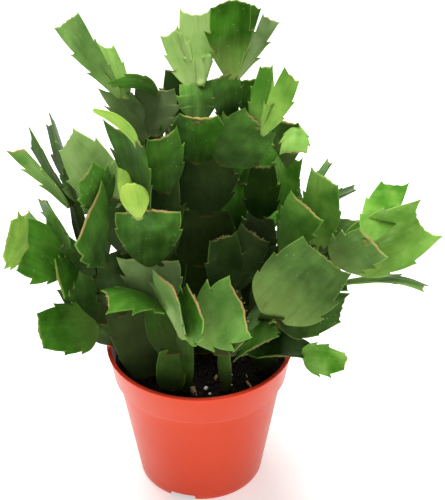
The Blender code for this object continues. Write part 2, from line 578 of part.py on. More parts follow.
def make_pot():
    """The pot: flat underside, tapered body, a step out to the collar and a rolled lip."""
    lip_z = POT_HEIGHT - LIP_DEPTH
    profile = [
        (0.0, 0.0),
        (FOOT_RADIUS - FOOT_ROUND, 0.0),
        (FOOT_RADIUS, FOOT_ROUND),
        (SHOULDER_RADIUS, COLLAR_FOOT_Z - EDGE_ROUND),
        (COLLAR_FOOT_RADIUS, COLLAR_FOOT_Z + EDGE_ROUND),
        (COLLAR_FOOT_RADIUS + COLLAR_TAPER, lip_z - EDGE_ROUND),
        (RIM_RADIUS, lip_z),
        (RIM_RADIUS, POT_HEIGHT - EDGE_ROUND),
        (RIM_RADIUS - EDGE_ROUND, POT_HEIGHT),
        (INNER_RIM_RADIUS + EDGE_ROUND, POT_HEIGHT),
        (INNER_RIM_RADIUS, POT_HEIGHT - EDGE_ROUND),
        (INNER_COLLAR_RADIUS, COLLAR_FOOT_Z + 2 * EDGE_ROUND),
        (INNER_BODY_RADIUS, COLLAR_FOOT_Z),
        (INNER_FOOT_RADIUS, FLOOR),
        (0.0, FLOOR),
    ]
    pot = turned("pot", profile, POT_SIDES, plain_material("polypropylene", "#dc5a3a", 0.4))
    notches = []
    reach = FOOT_RADIUS - DRAIN_DEPTH / 2 + DRAIN_OVERCUT
    for count in range(DRAIN_COUNT):
        angle = DRAIN_FIRST_ANGLE + count * 2 * math.pi / DRAIN_COUNT
        bpy.ops.mesh.primitive_cube_add(
            size=1,
            location=(
                reach * MM * math.cos(angle),
                reach * MM * math.sin(angle),
                0.0,
            ),
            rotation=(0, 0, angle),
        )
        notch = bpy.context.object
        depth = DRAIN_DEPTH + 2 * DRAIN_OVERCUT
        notch.scale = (depth * MM, DRAIN_WIDTH * MM, 2 * DRAIN_HEIGHT * MM)
        bpy.ops.object.transform_apply(location=False, rotation=False, scale=True)
        notches.append(notch)
    join_by_boolean(pot, notches, "DIFFERENCE")
    smooth_with_edges(pot, 30)
    return pot


def oval(x, y, heading, half_width, half_thick, z):
    """A ring of points round a peg, its long way along heading."""
    ring = []
    for step in range(PEG_SIDES):
        angle = 2 * math.pi * step / PEG_SIDES
        wide = half_width * math.cos(angle)
        deep = half_thick * math.sin(angle)
        ring.append(
            (
                x + wide * math.cos(heading) - deep * math.sin(heading),
                y + wide * math.sin(heading) + deep * math.cos(heading),
                z,
            )
        )
    return ring


def lofted(name, rings):
    """A closed solid through rings of points, lowest first."""
    sides = len(rings[0])
    points = [point for ring in rings for point in ring]
    faces = [tuple(range(sides - 1, -1, -1))]
    for low in range(0, sides * (len(rings) - 1), sides):
        for step in range(sides):
            following = (step + 1) % sides
            faces.append((low + step, low + following, low + sides + following, low + sides + step))
    faces.append(tuple(range(sides * (len(rings) - 1), sides * len(rings))))
    return object_from(name, points, faces)


def make_peg(root):
    x, y, heading, half = root
    bottom = SOIL_Z - PEG_DEPTH
    low = oval(x, y, heading, half * PEG_TAPER, PEG_HALF_THICK * PEG_TAPER, bottom)
    high = oval(x, y, heading, half, PEG_HALF_THICK, SOIL_Z + PEG_TOP)
    return lofted("peg", [low, high])


def make_hole(root):
    x, y, heading, half = root
    rings = []
    for z, share, gap in (
        (SOIL_Z - PEG_DEPTH - HOLE_GAP, PEG_TAPER, HOLE_GAP),
        (SOIL_Z + MOUTH_LEVELS[0], 1.0, HOLE_GAP),
        (SOIL_Z + MOUTH_LEVELS[1], 1.0, MOUTH_GAP),
    ):
        rings.append(oval(x, y, heading, half * share + gap, PEG_HALF_THICK * share + gap, z))
    return lofted("hole", rings)


def soil_height(x, y, draw):
    """The top of the mix: soft humps with a seeded crumb on each point."""
    hump_x = math.sin(HUMPS_PER_MM[0] * x + HUMP_STARTS[0])
    hump_y = math.cos(HUMPS_PER_MM[1] * y + HUMP_STARTS[1])
    return SOIL_Z + HUMP_HEIGHT * hump_x * hump_y + CRUMB_HEIGHT * draw.uniform(-0.5, 0.5)


def make_soil(roots):
    """The potting mix: it fills the pot, with a crumbly top and a plain hole for every peg."""
    draw = np.random.default_rng(SEED)
    widening = (SOIL_Z - COLLAR_FOOT_Z) * COLLAR_TAPER / COLLAR_HEIGHT
    top_radius = INNER_COLLAR_RADIUS + widening - 2 * SOIL_GAP
    wall = [
        (INNER_FOOT_RADIUS - SOIL_GAP, FLOOR + SOIL_GAP),
        (INNER_BODY_RADIUS - 2 * SOIL_GAP, COLLAR_FOOT_Z + STEP_FILL[0]),
        (INNER_COLLAR_RADIUS - 2 * SOIL_GAP, COLLAR_FOOT_Z + STEP_FILL[1]),
        (top_radius, SOIL_Z - SOIL_EDGE_DROP),
    ]
    turn = [2 * math.pi * step / SOIL_SECTORS for step in range(SOIL_SECTORS)]
    rings = [[(radius * math.cos(a), radius * math.sin(a), z) for a in turn] for radius, z in wall]
    for radius in reversed(SOIL_RINGS):
        ring = []
        for a in turn:
            x = radius * math.cos(a)
            y = radius * math.sin(a)
            ring.append((x, y, soil_height(x, y, draw)))
        rings.append(ring)
    soil = lofted("potting_mix", rings)
    soil.data.materials.append(plain_material("peat mix", "#2a1f18", 0.95))
    work = bmesh.new()
    work.from_mesh(soil.data)
    bmesh.ops.triangulate(work, faces=work.faces)
    work.to_mesh(soil.data)
    work.free()
    join_by_boolean(soil, [make_hole(root) for root in roots], "DIFFERENCE")
    tidy_mesh(soil)
    return soil


def make_stem(name, pads, material):
    """One rooted cutting: its pads and pegs united into one body."""
    pegs = [make_peg(root) for root in stem_roots(pads)]
    others = [object_from(f"pad {number}", *pad_mesh(pad)) for number, pad in pads.items()]
    stem = pegs[0]
    stem.name = name
    stem.data.materials.append(material)
    join_by_boolean(stem, pegs[1:] + others, "UNION")
    stem.name = name
    tidy_mesh(stem)
    smooth_with_edges(stem, 35)
    return stem


def main():
    clear_scene()
    plant = grown(STEMS)
    make_pot()
    make_soil([root for pads in plant.values() for root in stem_roots(pads)])
    green = "#3f6b2a"
    for stem, pads in plant.items():
        make_stem(f"stem_{stem}", pads, plain_material(f"{stem} pads", green, 0.45))


main()
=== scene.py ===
# %% [markdown]
# # A potted holiday cactus
# The plant is a pot full of rooted cuttings. Each one is a chain of flat stem segments, called pads
# here, and every pad grows out of the tip of the one below it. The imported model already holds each
# stem, the mix and the pot as plain solids, so this script dresses them: it models finer pieces that
# keep the same places and sizes, and gives every surface its finish. Everything is worked out in
# millimetres and becomes metres where a mesh is made.
# %% The frame
import math
import random

import bpy
import numpy as np
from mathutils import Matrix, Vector


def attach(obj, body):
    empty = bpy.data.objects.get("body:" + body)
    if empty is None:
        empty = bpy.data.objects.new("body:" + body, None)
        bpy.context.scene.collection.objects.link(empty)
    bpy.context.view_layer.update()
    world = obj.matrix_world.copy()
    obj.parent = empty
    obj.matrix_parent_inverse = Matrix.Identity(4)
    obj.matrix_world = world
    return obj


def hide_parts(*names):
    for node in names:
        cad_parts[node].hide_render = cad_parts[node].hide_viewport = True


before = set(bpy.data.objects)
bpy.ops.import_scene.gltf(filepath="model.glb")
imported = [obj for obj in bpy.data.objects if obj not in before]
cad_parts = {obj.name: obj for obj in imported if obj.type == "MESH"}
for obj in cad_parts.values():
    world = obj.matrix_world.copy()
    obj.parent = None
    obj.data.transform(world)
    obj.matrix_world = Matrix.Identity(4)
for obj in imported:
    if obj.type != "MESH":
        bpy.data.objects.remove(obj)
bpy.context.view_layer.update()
MM = 0.001

# %% [markdown]
# The camera stands in front of the pot and looks down on it by about a third of a right angle, as a
# photographer does who wants both the pot's side and the soil in the picture. A long lens keeps the
# leaning stems from looking stretched.
# %% The camera
LOOK_DOWN = math.radians(32)
CAMERA_DISTANCE = 620.0
LOOK_AT = Vector((12.3, 0.0, 143.5))
FOCAL_LENGTH = 85.6
SENSOR_WIDTH = 36.0

back = Vector((0.0, -math.cos(LOOK_DOWN), math.sin(LOOK_DOWN)))
bpy.ops.object.camera_add(location=(LOOK_AT + CAMERA_DISTANCE * back) * MM)
camera = bpy.context.object
camera.rotation_euler = (math.pi / 2 - LOOK_DOWN, 0.0, 0.0)
camera.data.lens = FOCAL_LENGTH
camera.data.sensor_width = SENSOR_WIDTH
bpy.context.scene.camera = camera
print("camera at", [round(v / MM) for v in camera.location], "mm")

# %% [markdown]
# The light is a white room with one large softbox above and a little behind the plant, so the upper
# pads shine and glow through, and the inside of the plant falls into shade. A weaker panel in front
# lifts the pot, and a small window beside it gives the skin its sheen. The floor is a light table,
# plain and white, which glows a little from below.
# %% Floor, lights and world
FLOOR_SIZE = 6.0
WORLD_STRENGTH = 0.3
TABLE_GLOW = 0.45
PLANT_MIDDLE = Vector((0.01, 0.0, 0.16))
# Name, place and size in metres, and watts
LAMPS = [
    ("softbox above", (-0.12, 0.3, 1.15), 0.7, 22.0),
    ("panel in front", (0.25, -1.3, 0.5), 0.9, 3.6),
    ("small window", (-0.1, -1.2, 0.16), 0.25, 0.9),
]


def linear(hex_colour):
    """An sRGB hex colour as the linear colour that a shader takes."""
    channels = [int(hex_colour[i : i + 2], 16) / 255 for i in (1, 3, 5)]
    return (*[c / 12.92 if c <= 0.04045 else ((c + 0.055) / 1.055) ** 2.4 for c in channels], 1.0)


def add_node(tree, kind, inputs=None, **settings):
    """Adds a node with its settings. An input, by name or number, gets a value or a link."""
    made = tree.nodes.new(kind)
    for name, value in settings.items():
        setattr(made, name, value)
    for name, value in (inputs or {}).items():
        if isinstance(value, bpy.types.NodeSocket):
            tree.links.new(value, made.inputs[name])
        else:
            made.inputs[name].default_value = value
    return made


def new_material(name, values):
    """A material, its node tree and its shader, whose sockets get the values given by name."""
    material = bpy.data.materials.new(name)
    material.use_nodes = True
    shader = material.node_tree.nodes["Principled BSDF"]
    for socket, value in values.items():
        shader.inputs[socket].default_value = value
    return material, material.node_tree, shader


for name, place, size, watts in LAMPS:
    bpy.ops.object.light_add(type="AREA", location=place)
    lamp = bpy.context.object
    lamp.name = name
    lamp.data.size = size
    lamp.data.energy = watts
    lamp.rotation_euler = (PLANT_MIDDLE - Vector(place)).to_track_quat("-Z", "Y").to_euler()

world = bpy.data.worlds.new("white room")
bpy.context.scene.world = world
world.use_nodes = True
background = world.node_tree.nodes["Background"]
background.inputs["Color"].default_value = linear("#ffffff")
background.inputs["Strength"].default_value = WORLD_STRENGTH
bpy.context.scene.view_settings.view_transform = "Standard"

bpy.ops.mesh.primitive_plane_add(size=FLOOR_SIZE, location=(0, 0, 0))
floor = bpy.context.object
floor.name = "floor"
# A sheet of matt acrylic spreads the light below it, so the floor has no hard shadow
acrylic, *_ = new_material("matt white acrylic, lit from below", {
    "Base Color": linear("#fafaf8"),
    "Roughness": 0.9,
    "Emission Color": linear("#ffffff"),
    "Emission Strength": TABLE_GLOW,
})
floor.data.materials.append(acrylic)
print("lamps:", [lamp[0] for lamp in LAMPS], "on a floor of", FLOOR_SIZE, "m")

# %% [markdown]
# A nursery pot is thin polypropylene, injection moulded: a tapered body, a step out to a short
# collar so that pots stack without jamming, and a rolled lip. It is made here as on a wheel: a
# circle is extruded and resized from the foot up the outside, over the lip and down the inside.
# %% The pot's profile
RIM_RADIUS = 51.0
POT_HEIGHT = 85.0
FOOT_RADIUS = 35.0
WALL = 1.4
FLOOR_THICKNESS = 1.8
COLLAR_FOOT_Z = 66.0
COLLAR_TAPER = 2.6
SHOULDER_RADIUS = 45.4
COLLAR_FOOT_RADIUS = 47.6
LIP_HEIGHT = 1.6
LIP_WIDTH = 2.4
LIP_TURN_STEPS = 6
# Degrees that the lip's rounding starts at and turns through
LIP_TURN_START = -70
LIP_TURN = 250
POT_SIDES = 160

lip_z = POT_HEIGHT - LIP_HEIGHT
POT_OUTSIDE = [
    (FOOT_RADIUS - 1.6, 0.0),
    (FOOT_RADIUS - 0.7, 0.2),
    (FOOT_RADIUS, 0.9),
    (FOOT_RADIUS + 0.55, 4.0),
    (SHOULDER_RADIUS - 0.5, COLLAR_FOOT_Z - 3.5),
    (SHOULDER_RADIUS, COLLAR_FOOT_Z - 0.9),
    (SHOULDER_RADIUS + 0.5, COLLAR_FOOT_Z - 0.2),
    (COLLAR_FOOT_RADIUS - 0.5, COLLAR_FOOT_Z + 0.3),
    (COLLAR_FOOT_RADIUS, COLLAR_FOOT_Z + 1.0),
    (COLLAR_FOOT_RADIUS + COLLAR_TAPER - 0.1, lip_z - 1.0),
    (COLLAR_FOOT_RADIUS + COLLAR_TAPER + 0.1, lip_z - 0.4),
]
POT_LIP = []
for step in range(LIP_TURN_STEPS + 1):
    turn = math.radians(LIP_TURN_START + LIP_TURN * step / LIP_TURN_STEPS)
    POT_LIP.append((
        RIM_RADIUS - LIP_WIDTH / 2 + LIP_WIDTH / 2 * math.cos(turn),
        lip_z + LIP_HEIGHT / 2 + LIP_HEIGHT / 2 * math.sin(turn),
    ))
POT_INSIDE = [
    (COLLAR_FOOT_RADIUS + COLLAR_TAPER - WALL, lip_z - 1.0),
    (COLLAR_FOOT_RADIUS - WALL, COLLAR_FOOT_Z + 1.2),
    (SHOULDER_RADIUS - WALL, COLLAR_FOOT_Z),
    (FOOT_RADIUS - WALL + 0.6, FLOOR_THICKNESS + 1.0),
    (FOOT_RADIUS - WALL, FLOOR_THICKNESS),
]

print("rings of the profile:", len(POT_OUTSIDE + POT_LIP + POT_INSIDE))

# %% [markdown]
# Every new piece starts with nothing else selected, because an operator acts on all that is. A
# body of revolution is then one loop: extrude the ring upward, and resize it to its new radius.
# %% The pot
def select(*items):
    """Makes these the only selected objects, and the first of them the active one."""
    bpy.ops.object.select_all(action="DESELECT")
    for item in items:
        item.select_set(True)
    bpy.context.view_layer.objects.active = items[0]


def apply_place(item):
    """Moves an object's place, turn and size into its mesh, so that the object is at the origin."""
    select(item)
    bpy.ops.object.transform_apply(location=True, rotation=True, scale=True)


def thrown(name, profile, sides):
    """A closed body of revolution: a circle raised ring by ring through (radius, z) in mm."""
    radius, height = profile[0]
    bpy.ops.object.select_all(action="DESELECT")
    bpy.ops.mesh.primitive_circle_add(
        vertices=sides, radius=radius * MM, fill_type="NGON", location=(0, 0, height * MM)
    )
    item = bpy.context.object
    item.name = name
    apply_place(item)
    bpy.ops.object.mode_set(mode="EDIT")
    bpy.ops.mesh.select_all(action="SELECT")
    for (inner, low), (outer, high) in zip(profile, profile[1:]):
        bpy.ops.mesh.extrude_region_move(TRANSFORM_OT_translate={"value": (0, 0, (high - low) * MM)})
        share = outer / inner
        bpy.ops.transform.resize(value=(share, share, 1))
    bpy.ops.mesh.select_all(action="SELECT")
    bpy.ops.mesh.normals_make_consistent(inside=False)
    bpy.ops.object.mode_set(mode="OBJECT")
    return item


pot = thrown("nursery_pot", POT_OUTSIDE + POT_LIP + POT_INSIDE, POT_SIDES)
print(pot.name, len(pot.data.polygons), "faces,", POT_SIDES, "sides")

# %% [markdown]
# Water leaves through slots that are moulded where the floor meets the wall. They are cut here with
# rounded blocks and a Boolean, which is applied at once.
# %% Drain slots
DRAIN_COUNT = 3
DRAIN_WIDTH = 15.0
DRAIN_HEIGHT = 3.6
DRAIN_LENGTH = 17.0
DRAIN_RADIUS = FOOT_RADIUS - 0.5
DRAIN_FIRST_ANGLE = math.radians(253)
DRAIN_CORNER = 1.2
SMOOTH_UNDER = math.radians(35)


def apply_modifiers(item):
    bpy.context.view_layer.objects.active = item
    for modifier in list(item.modifiers):
        bpy.ops.object.modifier_apply(modifier=modifier.name)


def join_all(name, items):
    """Joins items into one object of that name."""
    select(*items)
    bpy.ops.object.join()
    items[0].name = name
    items[0].data.name = name
    return items[0]


blocks = []
for count in range(DRAIN_COUNT):
    turn = DRAIN_FIRST_ANGLE + count * 2 * math.pi / DRAIN_COUNT
    bpy.ops.mesh.primitive_cube_add(
        size=1,
        location=(DRAIN_RADIUS * MM * math.cos(turn), DRAIN_RADIUS * MM * math.sin(turn), 0),
        rotation=(0, 0, turn),
    )
    block = bpy.context.object
    block.scale = (DRAIN_LENGTH * MM, DRAIN_WIDTH * MM, 2 * DRAIN_HEIGHT * MM)
    apply_place(block)
    rounding = block.modifiers.new("round", "BEVEL")
    rounding.width = DRAIN_CORNER * MM
    rounding.segments = 3
    apply_modifiers(block)
    blocks.append(block)
cutter = join_all("drain cutter", blocks)
cut = pot.modifiers.new("drain slots", "BOOLEAN")
cut.operation = "DIFFERENCE"
cut.object = cutter
apply_modifiers(pot)
bpy.data.objects.remove(cutter, do_unlink=True)
select(pot)
bpy.ops.object.shade_smooth_by_angle(angle=SMOOTH_UNDER)
print("pot faces after the slots:", len(pot.data.polygons))

# %% [markdown]
# Polypropylene is dyed through, slightly waxy and a little translucent. It leaves the mould satin,
# so it mirrors a white room softly, most of all where the wall turns away. Handling leaves faint
# scuffs, and a few specks of mix stick to it.
# %% Polypropylene
# The rolled lip is painted a brighter red from this height on, in mm, as painted light
PAINTED_LIP_LIGHT_FROM = 81.8

polypropylene, tree, shader = new_material("moulded polypropylene, orange red", {
    "IOR": 1.49,
    "Subsurface Weight": 0.15,
    "Subsurface Radius": (1.0, 0.35, 0.2),
    "Subsurface Scale": 0.0015,
    "Specular IOR Level": 0.32,
    "Sheen Weight": 0.22,
    "Sheen Roughness": 0.35,
})
place = add_node(tree, "ShaderNodeTexCoord").outputs["Object"]
# Uneven dye, in clouds some 35 mm wide, and scuffs some 7 mm wide with finer ones in them
cloud = add_node(tree, "ShaderNodeTexNoise", {"Vector": place, "Scale": 28.0, "Detail": 3.0}).outputs["Fac"]
scuff = add_node(tree, "ShaderNodeTexNoise", {"Vector": place, "Scale": 140.0, "Detail": 6.0}).outputs["Fac"]
# Specks of dry mix, about 1 mm across and 12 mm apart, and only in some places
speck = add_node(tree, "ShaderNodeTexVoronoi", {"Vector": place, "Scale": 80.0, "Randomness": 1.0})
rare = add_node(tree, "ShaderNodeTexNoise", {"Vector": place, "Scale": 55.0, "Detail": 1.0})
dot = add_node(tree, "ShaderNodeMapRange", {0: speck.outputs["Distance"], 1: 0.05, 2: 0.035})
spot = add_node(tree, "ShaderNodeMapRange", {0: rare.outputs["Fac"], 1: 0.6, 2: 0.64})
dirt = add_node(tree, "ShaderNodeMath", {0: dot.outputs[0], 1: spot.outputs[0]}, operation="MULTIPLY")
# The rolled lip lies in the shade of the pads, so its red is painted brighter there, as painted light
height = add_node(tree, "ShaderNodeSeparateXYZ", {"Vector": place}).outputs["Z"]
painted_lip_light = add_node(tree, "ShaderNodeMapRange", {0: height, 1: PAINTED_LIP_LIGHT_FROM * MM, 2: lip_z * MM})
colour = linear("#c83408")
for share, over in (cloud, "#d44216"), (dirt.outputs[0], "#8a3018"), (painted_lip_light.outputs[0], "#e03a12"):
    inputs = {0: share, 6: colour, 7: linear(over)}
    colour = add_node(tree, "ShaderNodeMix", inputs, data_type="RGBA").outputs[2]
tree.links.new(colour, shader.inputs["Base Color"])
satin = add_node(tree, "ShaderNodeMapRange", {0: scuff, 3: 0.34, 4: 0.5})
tree.links.new(satin.outputs[0], shader.inputs["Roughness"])
grain = add_node(tree, "ShaderNodeBump", {"Height": scuff, "Strength": 0.08, "Distance": 0.0002})
tree.links.new(grain.outputs[0], shader.inputs["Normal"])
pot.data.materials.append(polypropylene)
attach(pot, "root")
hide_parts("pot")
print(polypropylene.name, len(tree.nodes), "nodes")

# %% [markdown]
# The mix is dark peat with bark fines, chips and a few grains of white perlite. The body is thrown
# like the pot, with many rings over its top, and a formula raises the top into crumbs. Loose crumbs,
# chips and grains are modelled once each and scattered over it.
# %% Potting mix
SOIL_Z = 74.0
SOIL_GAP = 0.3
SOIL_SIDES = 150
SOIL_TOP_RADIUS = 46.7
SOIL_RING_STEP = 0.9
# Soft humps of the top, some 50 mm apart: height in mm, and turn per mm and start along x and y
HUMP_HEIGHT = 0.7
HUMP_TURNS = (0.11, 0.13)
HUMP_STARTS = (0.6, -0.4)
# How far the crumbs of the top stand up or sink in mm: by a draw, and in ridges about 4 mm apart
CRUMB_DRAW = 0.38
CRUMB_RIDGE = 0.5
SOIL_SEED = 11


def soil_height(x, y):
    """The top of the mix without its crumbs, in mm."""
    along_x = math.sin(HUMP_TURNS[0] * x + HUMP_STARTS[0])
    along_y = math.cos(HUMP_TURNS[1] * y + HUMP_STARTS[1])
    return SOIL_Z + HUMP_HEIGHT * along_x * along_y


soil_profile = [
    (FOOT_RADIUS - WALL - SOIL_GAP, FLOOR_THICKNESS + SOIL_GAP),
    (SHOULDER_RADIUS - WALL - 2 * SOIL_GAP, COLLAR_FOOT_Z + 0.5),
    (COLLAR_FOOT_RADIUS - WALL - 2 * SOIL_GAP, COLLAR_FOOT_Z + 2.2),
    (SOIL_TOP_RADIUS, SOIL_Z - 1.2),
]
ring_count = int(SOIL_TOP_RADIUS / SOIL_RING_STEP)
soil_profile += [(SOIL_TOP_RADIUS * (1 - step / ring_count), SOIL_Z) for step in range(1, ring_count)]
soil = thrown("potting_mix_body", soil_profile, SOIL_SIDES)
draw = random.Random(SOIL_SEED)
for point in soil.data.vertices:
    x, y, z = (value / MM for value in point.co)
    if z > SOIL_Z - 0.5:
        ridge = math.sin(1.7 * x + 2.1 * math.sin(0.9 * y))
        crumb = draw.gauss(0, CRUMB_DRAW) + CRUMB_RIDGE * ridge
        point.co.z = (soil_height(x, y) + crumb) * MM
soil.data.shade_smooth()
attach(soil, "root")
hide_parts("potting_mix")
print("mix faces:", len(soil.data.polygons))

# %% [markdown]
# Damp peat is nearly black and dull. One noise gives both its clods, some 2 mm wide, and the fine
# fibres in them. Bark, wood and perlite are dry and rough, and each is mottled in two colours.
# %% Peat, bark and perlite
PEAT_DARK = (0.38, "#020201")
PEAT_PALE = (0.72, "#130d09")

peat, tree, shader = new_material("damp peat mix", {"Roughness": 0.92, "Specular IOR Level": 0.15})
place = add_node(tree, "ShaderNodeTexCoord").outputs["Object"]
clod = add_node(tree, "ShaderNodeTexNoise", {"Vector": place, "Scale": 420.0, "Detail": 8.0}).outputs["Fac"]
ramp = add_node(tree, "ShaderNodeValToRGB", {"Fac": clod})
for stop, (position, tone) in zip(ramp.color_ramp.elements, (PEAT_DARK, PEAT_PALE)):
    stop.position = position
    stop.color = linear(tone)
tree.links.new(ramp.outputs["Color"], shader.inputs["Base Color"])
bumps = add_node(tree, "ShaderNodeBump", {"Height": clod, "Strength": 0.9, "Distance": 0.001})
tree.links.new(bumps.outputs[0], shader.inputs["Normal"])
soil.data.materials.append(peat)


def mottled(name, dark, pale, roughness, scale):
    """A rough material of two colours, in spots of about 1 / scale metres."""
    material, tree, shader = new_material(name, {"Roughness": roughness, "Specular IOR Level": 0.2})
    place = add_node(tree, "ShaderNodeTexCoord").outputs["Object"]
    noise = add_node(tree, "ShaderNodeTexNoise", {"Vector": place, "Scale": scale, "Detail": 5.0})
    spots = noise.outputs["Fac"]
    inputs = {0: spots, 6: linear(dark), 7: linear(pale)}
    both = add_node(tree, "ShaderNodeMix", inputs, data_type="RGBA")
    tree.links.new(both.outputs[2], shader.inputs["Base Color"])
    relief = add_node(tree, "ShaderNodeBump", {"Height": spots, "Strength": 0.6, "Distance": 0.0005})
    tree.links.new(relief.outputs[0], shader.inputs["Normal"])
    return material


bark = mottled("bark fines", "#080503", "#2a1a12", 0.9, 500.0)
wood_chip = mottled("pale wood chips", "#8a6a3e", "#d8bd86", 0.8, 700.0)
perlite = mottled("perlite grains", "#cfc9bc", "#f4f1ea", 0.85, 900.0)
print("finishes of the mix:", [material.name for material in (peat, bark, wood_chip, perlite)])

# %% [markdown]
# A copied crumb is a rough ball of a few dozen faces. Each copy has its own mesh, is squashed and
# turned at random from a fixed seed, and the copies of one kind are joined.
# %% How bits are copied and scattered
SOIL_REACH = 45.0
# How far above the mix the middle of a bit lies, as a share of its half size
LYING = 0.35


def points_of(item):
    """The points of an object's mesh as rows of x, y and z."""
    flat = np.empty(3 * len(item.data.vertices))
    item.data.vertices.foreach_get("co", flat)
    return flat.reshape(-1, 3)


def copy_with(blank, points):
    """A copy of blank with its own mesh, its points moved to the given ones, in metres."""
    copy = bpy.data.objects.new(blank.name + " copy", blank.data.copy())
    bpy.context.scene.collection.objects.link(copy)
    copy.data.vertices.foreach_set("co", np.asarray(points, np.float32).ravel())
    copy.data.update()
    return copy


def turned_about(points, draw):
    """The points under a random turn."""
    spin = draw.normal(size=4)
    w, x, y, z = spin / np.linalg.norm(spin)
    turn = np.array([
        [1 - 2 * (y * y + z * z), 2 * (x * y - z * w), 2 * (x * z + y * w)],
        [2 * (x * y + z * w), 1 - 2 * (x * x + z * z), 2 * (y * z - x * w)],
        [2 * (x * z - y * w), 2 * (y * z + x * w), 1 - 2 * (x * x + y * y)],
    ])
    return points @ turn.T


def scattered(name, blank, places, size, squash, roughness, seed):
    """Copies of blank at places (x, y in mm), of half sizes drawn between the two in size."""
    draw = np.random.default_rng(seed)
    shape = points_of(blank)
    copies = []
    for x, y in places:
        half = draw.uniform(*size)
        points = shape * (1 + roughness * draw.normal(size=(len(shape), 1))) * np.array(squash) * half
        points = turned_about(points, draw)
        height = soil_height(x, y) + LYING * half
        copies.append(copy_with(blank, (points + np.array([x, y, height])) * MM))
    made = join_all(name, copies)
    made.data.shade_flat()
    return made


def spread(count, seed):
    """Places drawn evenly over the top of the mix."""
    draw = np.random.default_rng(seed)
    radius = SOIL_REACH * np.sqrt(draw.random(count))
    turn = draw.uniform(0, 2 * math.pi, count)
    return list(zip(radius * np.cos(turn), radius * np.sin(turn)))


print("bits reach", SOIL_REACH, "mm from the middle")

# %% [markdown]
# Most bits lie anywhere. Only the few long chips and big grains that catch the eye near the front
# rim have places of their own.
# %% Scattered crumbs, chips and perlite
# x and y in mm
LONG_CHIPS = [(-2.8, -31.3), (8.3, -20.2), (-29.1, -15.9), (-24.6, -7.9)]
BIG_GRAINS = [(3.5, -27.9), (5.7, -33.0), (-8.5, -16.7)]

bpy.ops.mesh.primitive_ico_sphere_add(subdivisions=2, radius=1.0)
ball = bpy.context.object
# A splinter is a block with worn edges
bpy.ops.mesh.primitive_cube_add(size=2)
chip = bpy.context.object
rounding = chip.modifiers.new("worn edges", "BEVEL")
rounding.width = 0.3
rounding.segments = 2
apply_modifiers(chip)

# Name, blank, places, half sizes in mm, squash, roughness, seed and finish
LOOSE = [
    ("bark_crumbs", ball, spread(520, 1), (0.5, 1.5), (1, 0.8, 0.6), 0.16, 2, bark),
    ("bark_slivers", chip, spread(90, 3), (0.5, 1.3), (2.4, 0.7, 0.35), 0.1, 4, bark),
    ("wood_chips", chip, spread(12, 5), (0.5, 1.0), (2.6, 0.7, 0.4), 0.1, 6, wood_chip),
    ("long_chips", chip, LONG_CHIPS, (1.0, 1.3), (2.4, 0.9, 0.5), 0.1, 9, wood_chip),
    ("perlite", ball, spread(30, 7), (0.4, 0.8), (1, 0.9, 0.8), 0.12, 8, perlite),
    ("big_grains", ball, BIG_GRAINS, (0.9, 1.2), (1, 0.9, 0.8), 0.12, 10, perlite),
]
for *shape, finish in LOOSE:
    piece = scattered(*shape)
    piece.data.materials.clear()
    piece.data.materials.append(finish)
    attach(piece, "root")
    print(piece.name, len(piece.data.polygons), "faces")
for blank in (ball, chip):
    bpy.data.objects.remove(blank, do_unlink=True)

# %% [markdown]
# Where each pad stands comes first, and it is the same plan as the solids': a list of stems, each
# pad with the pad that it grows from and the two points of its tip. Pads in front are placed on a
# sketch sheet that leans back, drawn in perspective, and pads behind are placed in the room.
# %% How places are given
# How deep a foot sinks into the pad below, and how far apart sister pads are layered, in mm
SINK = 2.5
STACK = 1.5
# Where on its parent a pad starts, as a share of the parent's length
JOINT_STATION = 0.97
# How far out from the midrib the fold of a pad is rounded, in mm
RIB_ROUNDING = 2.0
PAD_START_Z = SOIL_Z + 1.0
# How far the eye is from the sketch sheet, and the point of the sheet straight ahead of it
EYE_TO_SHEET = 594.5
EYE_U = 12.25
EYE_V = 75.0
AIM = np.array(LOOK_AT)
RIGHT = np.array([1.0, 0.0, 0.0])
UP = np.array([0.0, math.sin(LOOK_DOWN), math.cos(LOOK_DOWN)])
NEAR = np.array(back)


def sheet(point):
    """The place that shows at (u, v) on the sketch sheet and is d nearer to the eye than AIM."""
    u, v, d = point
    spread = (CAMERA_DISTANCE - d) / EYE_TO_SHEET
    return AIM + d * NEAR + spread * ((u - EYE_U) * RIGHT + (v - EYE_V) * UP)


def room(point):
    """A place given straight in the room, for the pads behind."""
    return np.array(point, float)


MATURE = "mature"
WOODY = "woody"
YOUNG = "young"
# Station of a horn, its half width as a share of the pad's, and station of the tip edge
HORNS = {MATURE: (1.06, 0.80, 1.00), WOODY: (1.00, 0.80, 1.00), YOUNG: (1.01, 0.50, 1.00)}
print("the eye looks at", [round(value) for value in AIM], "mm")

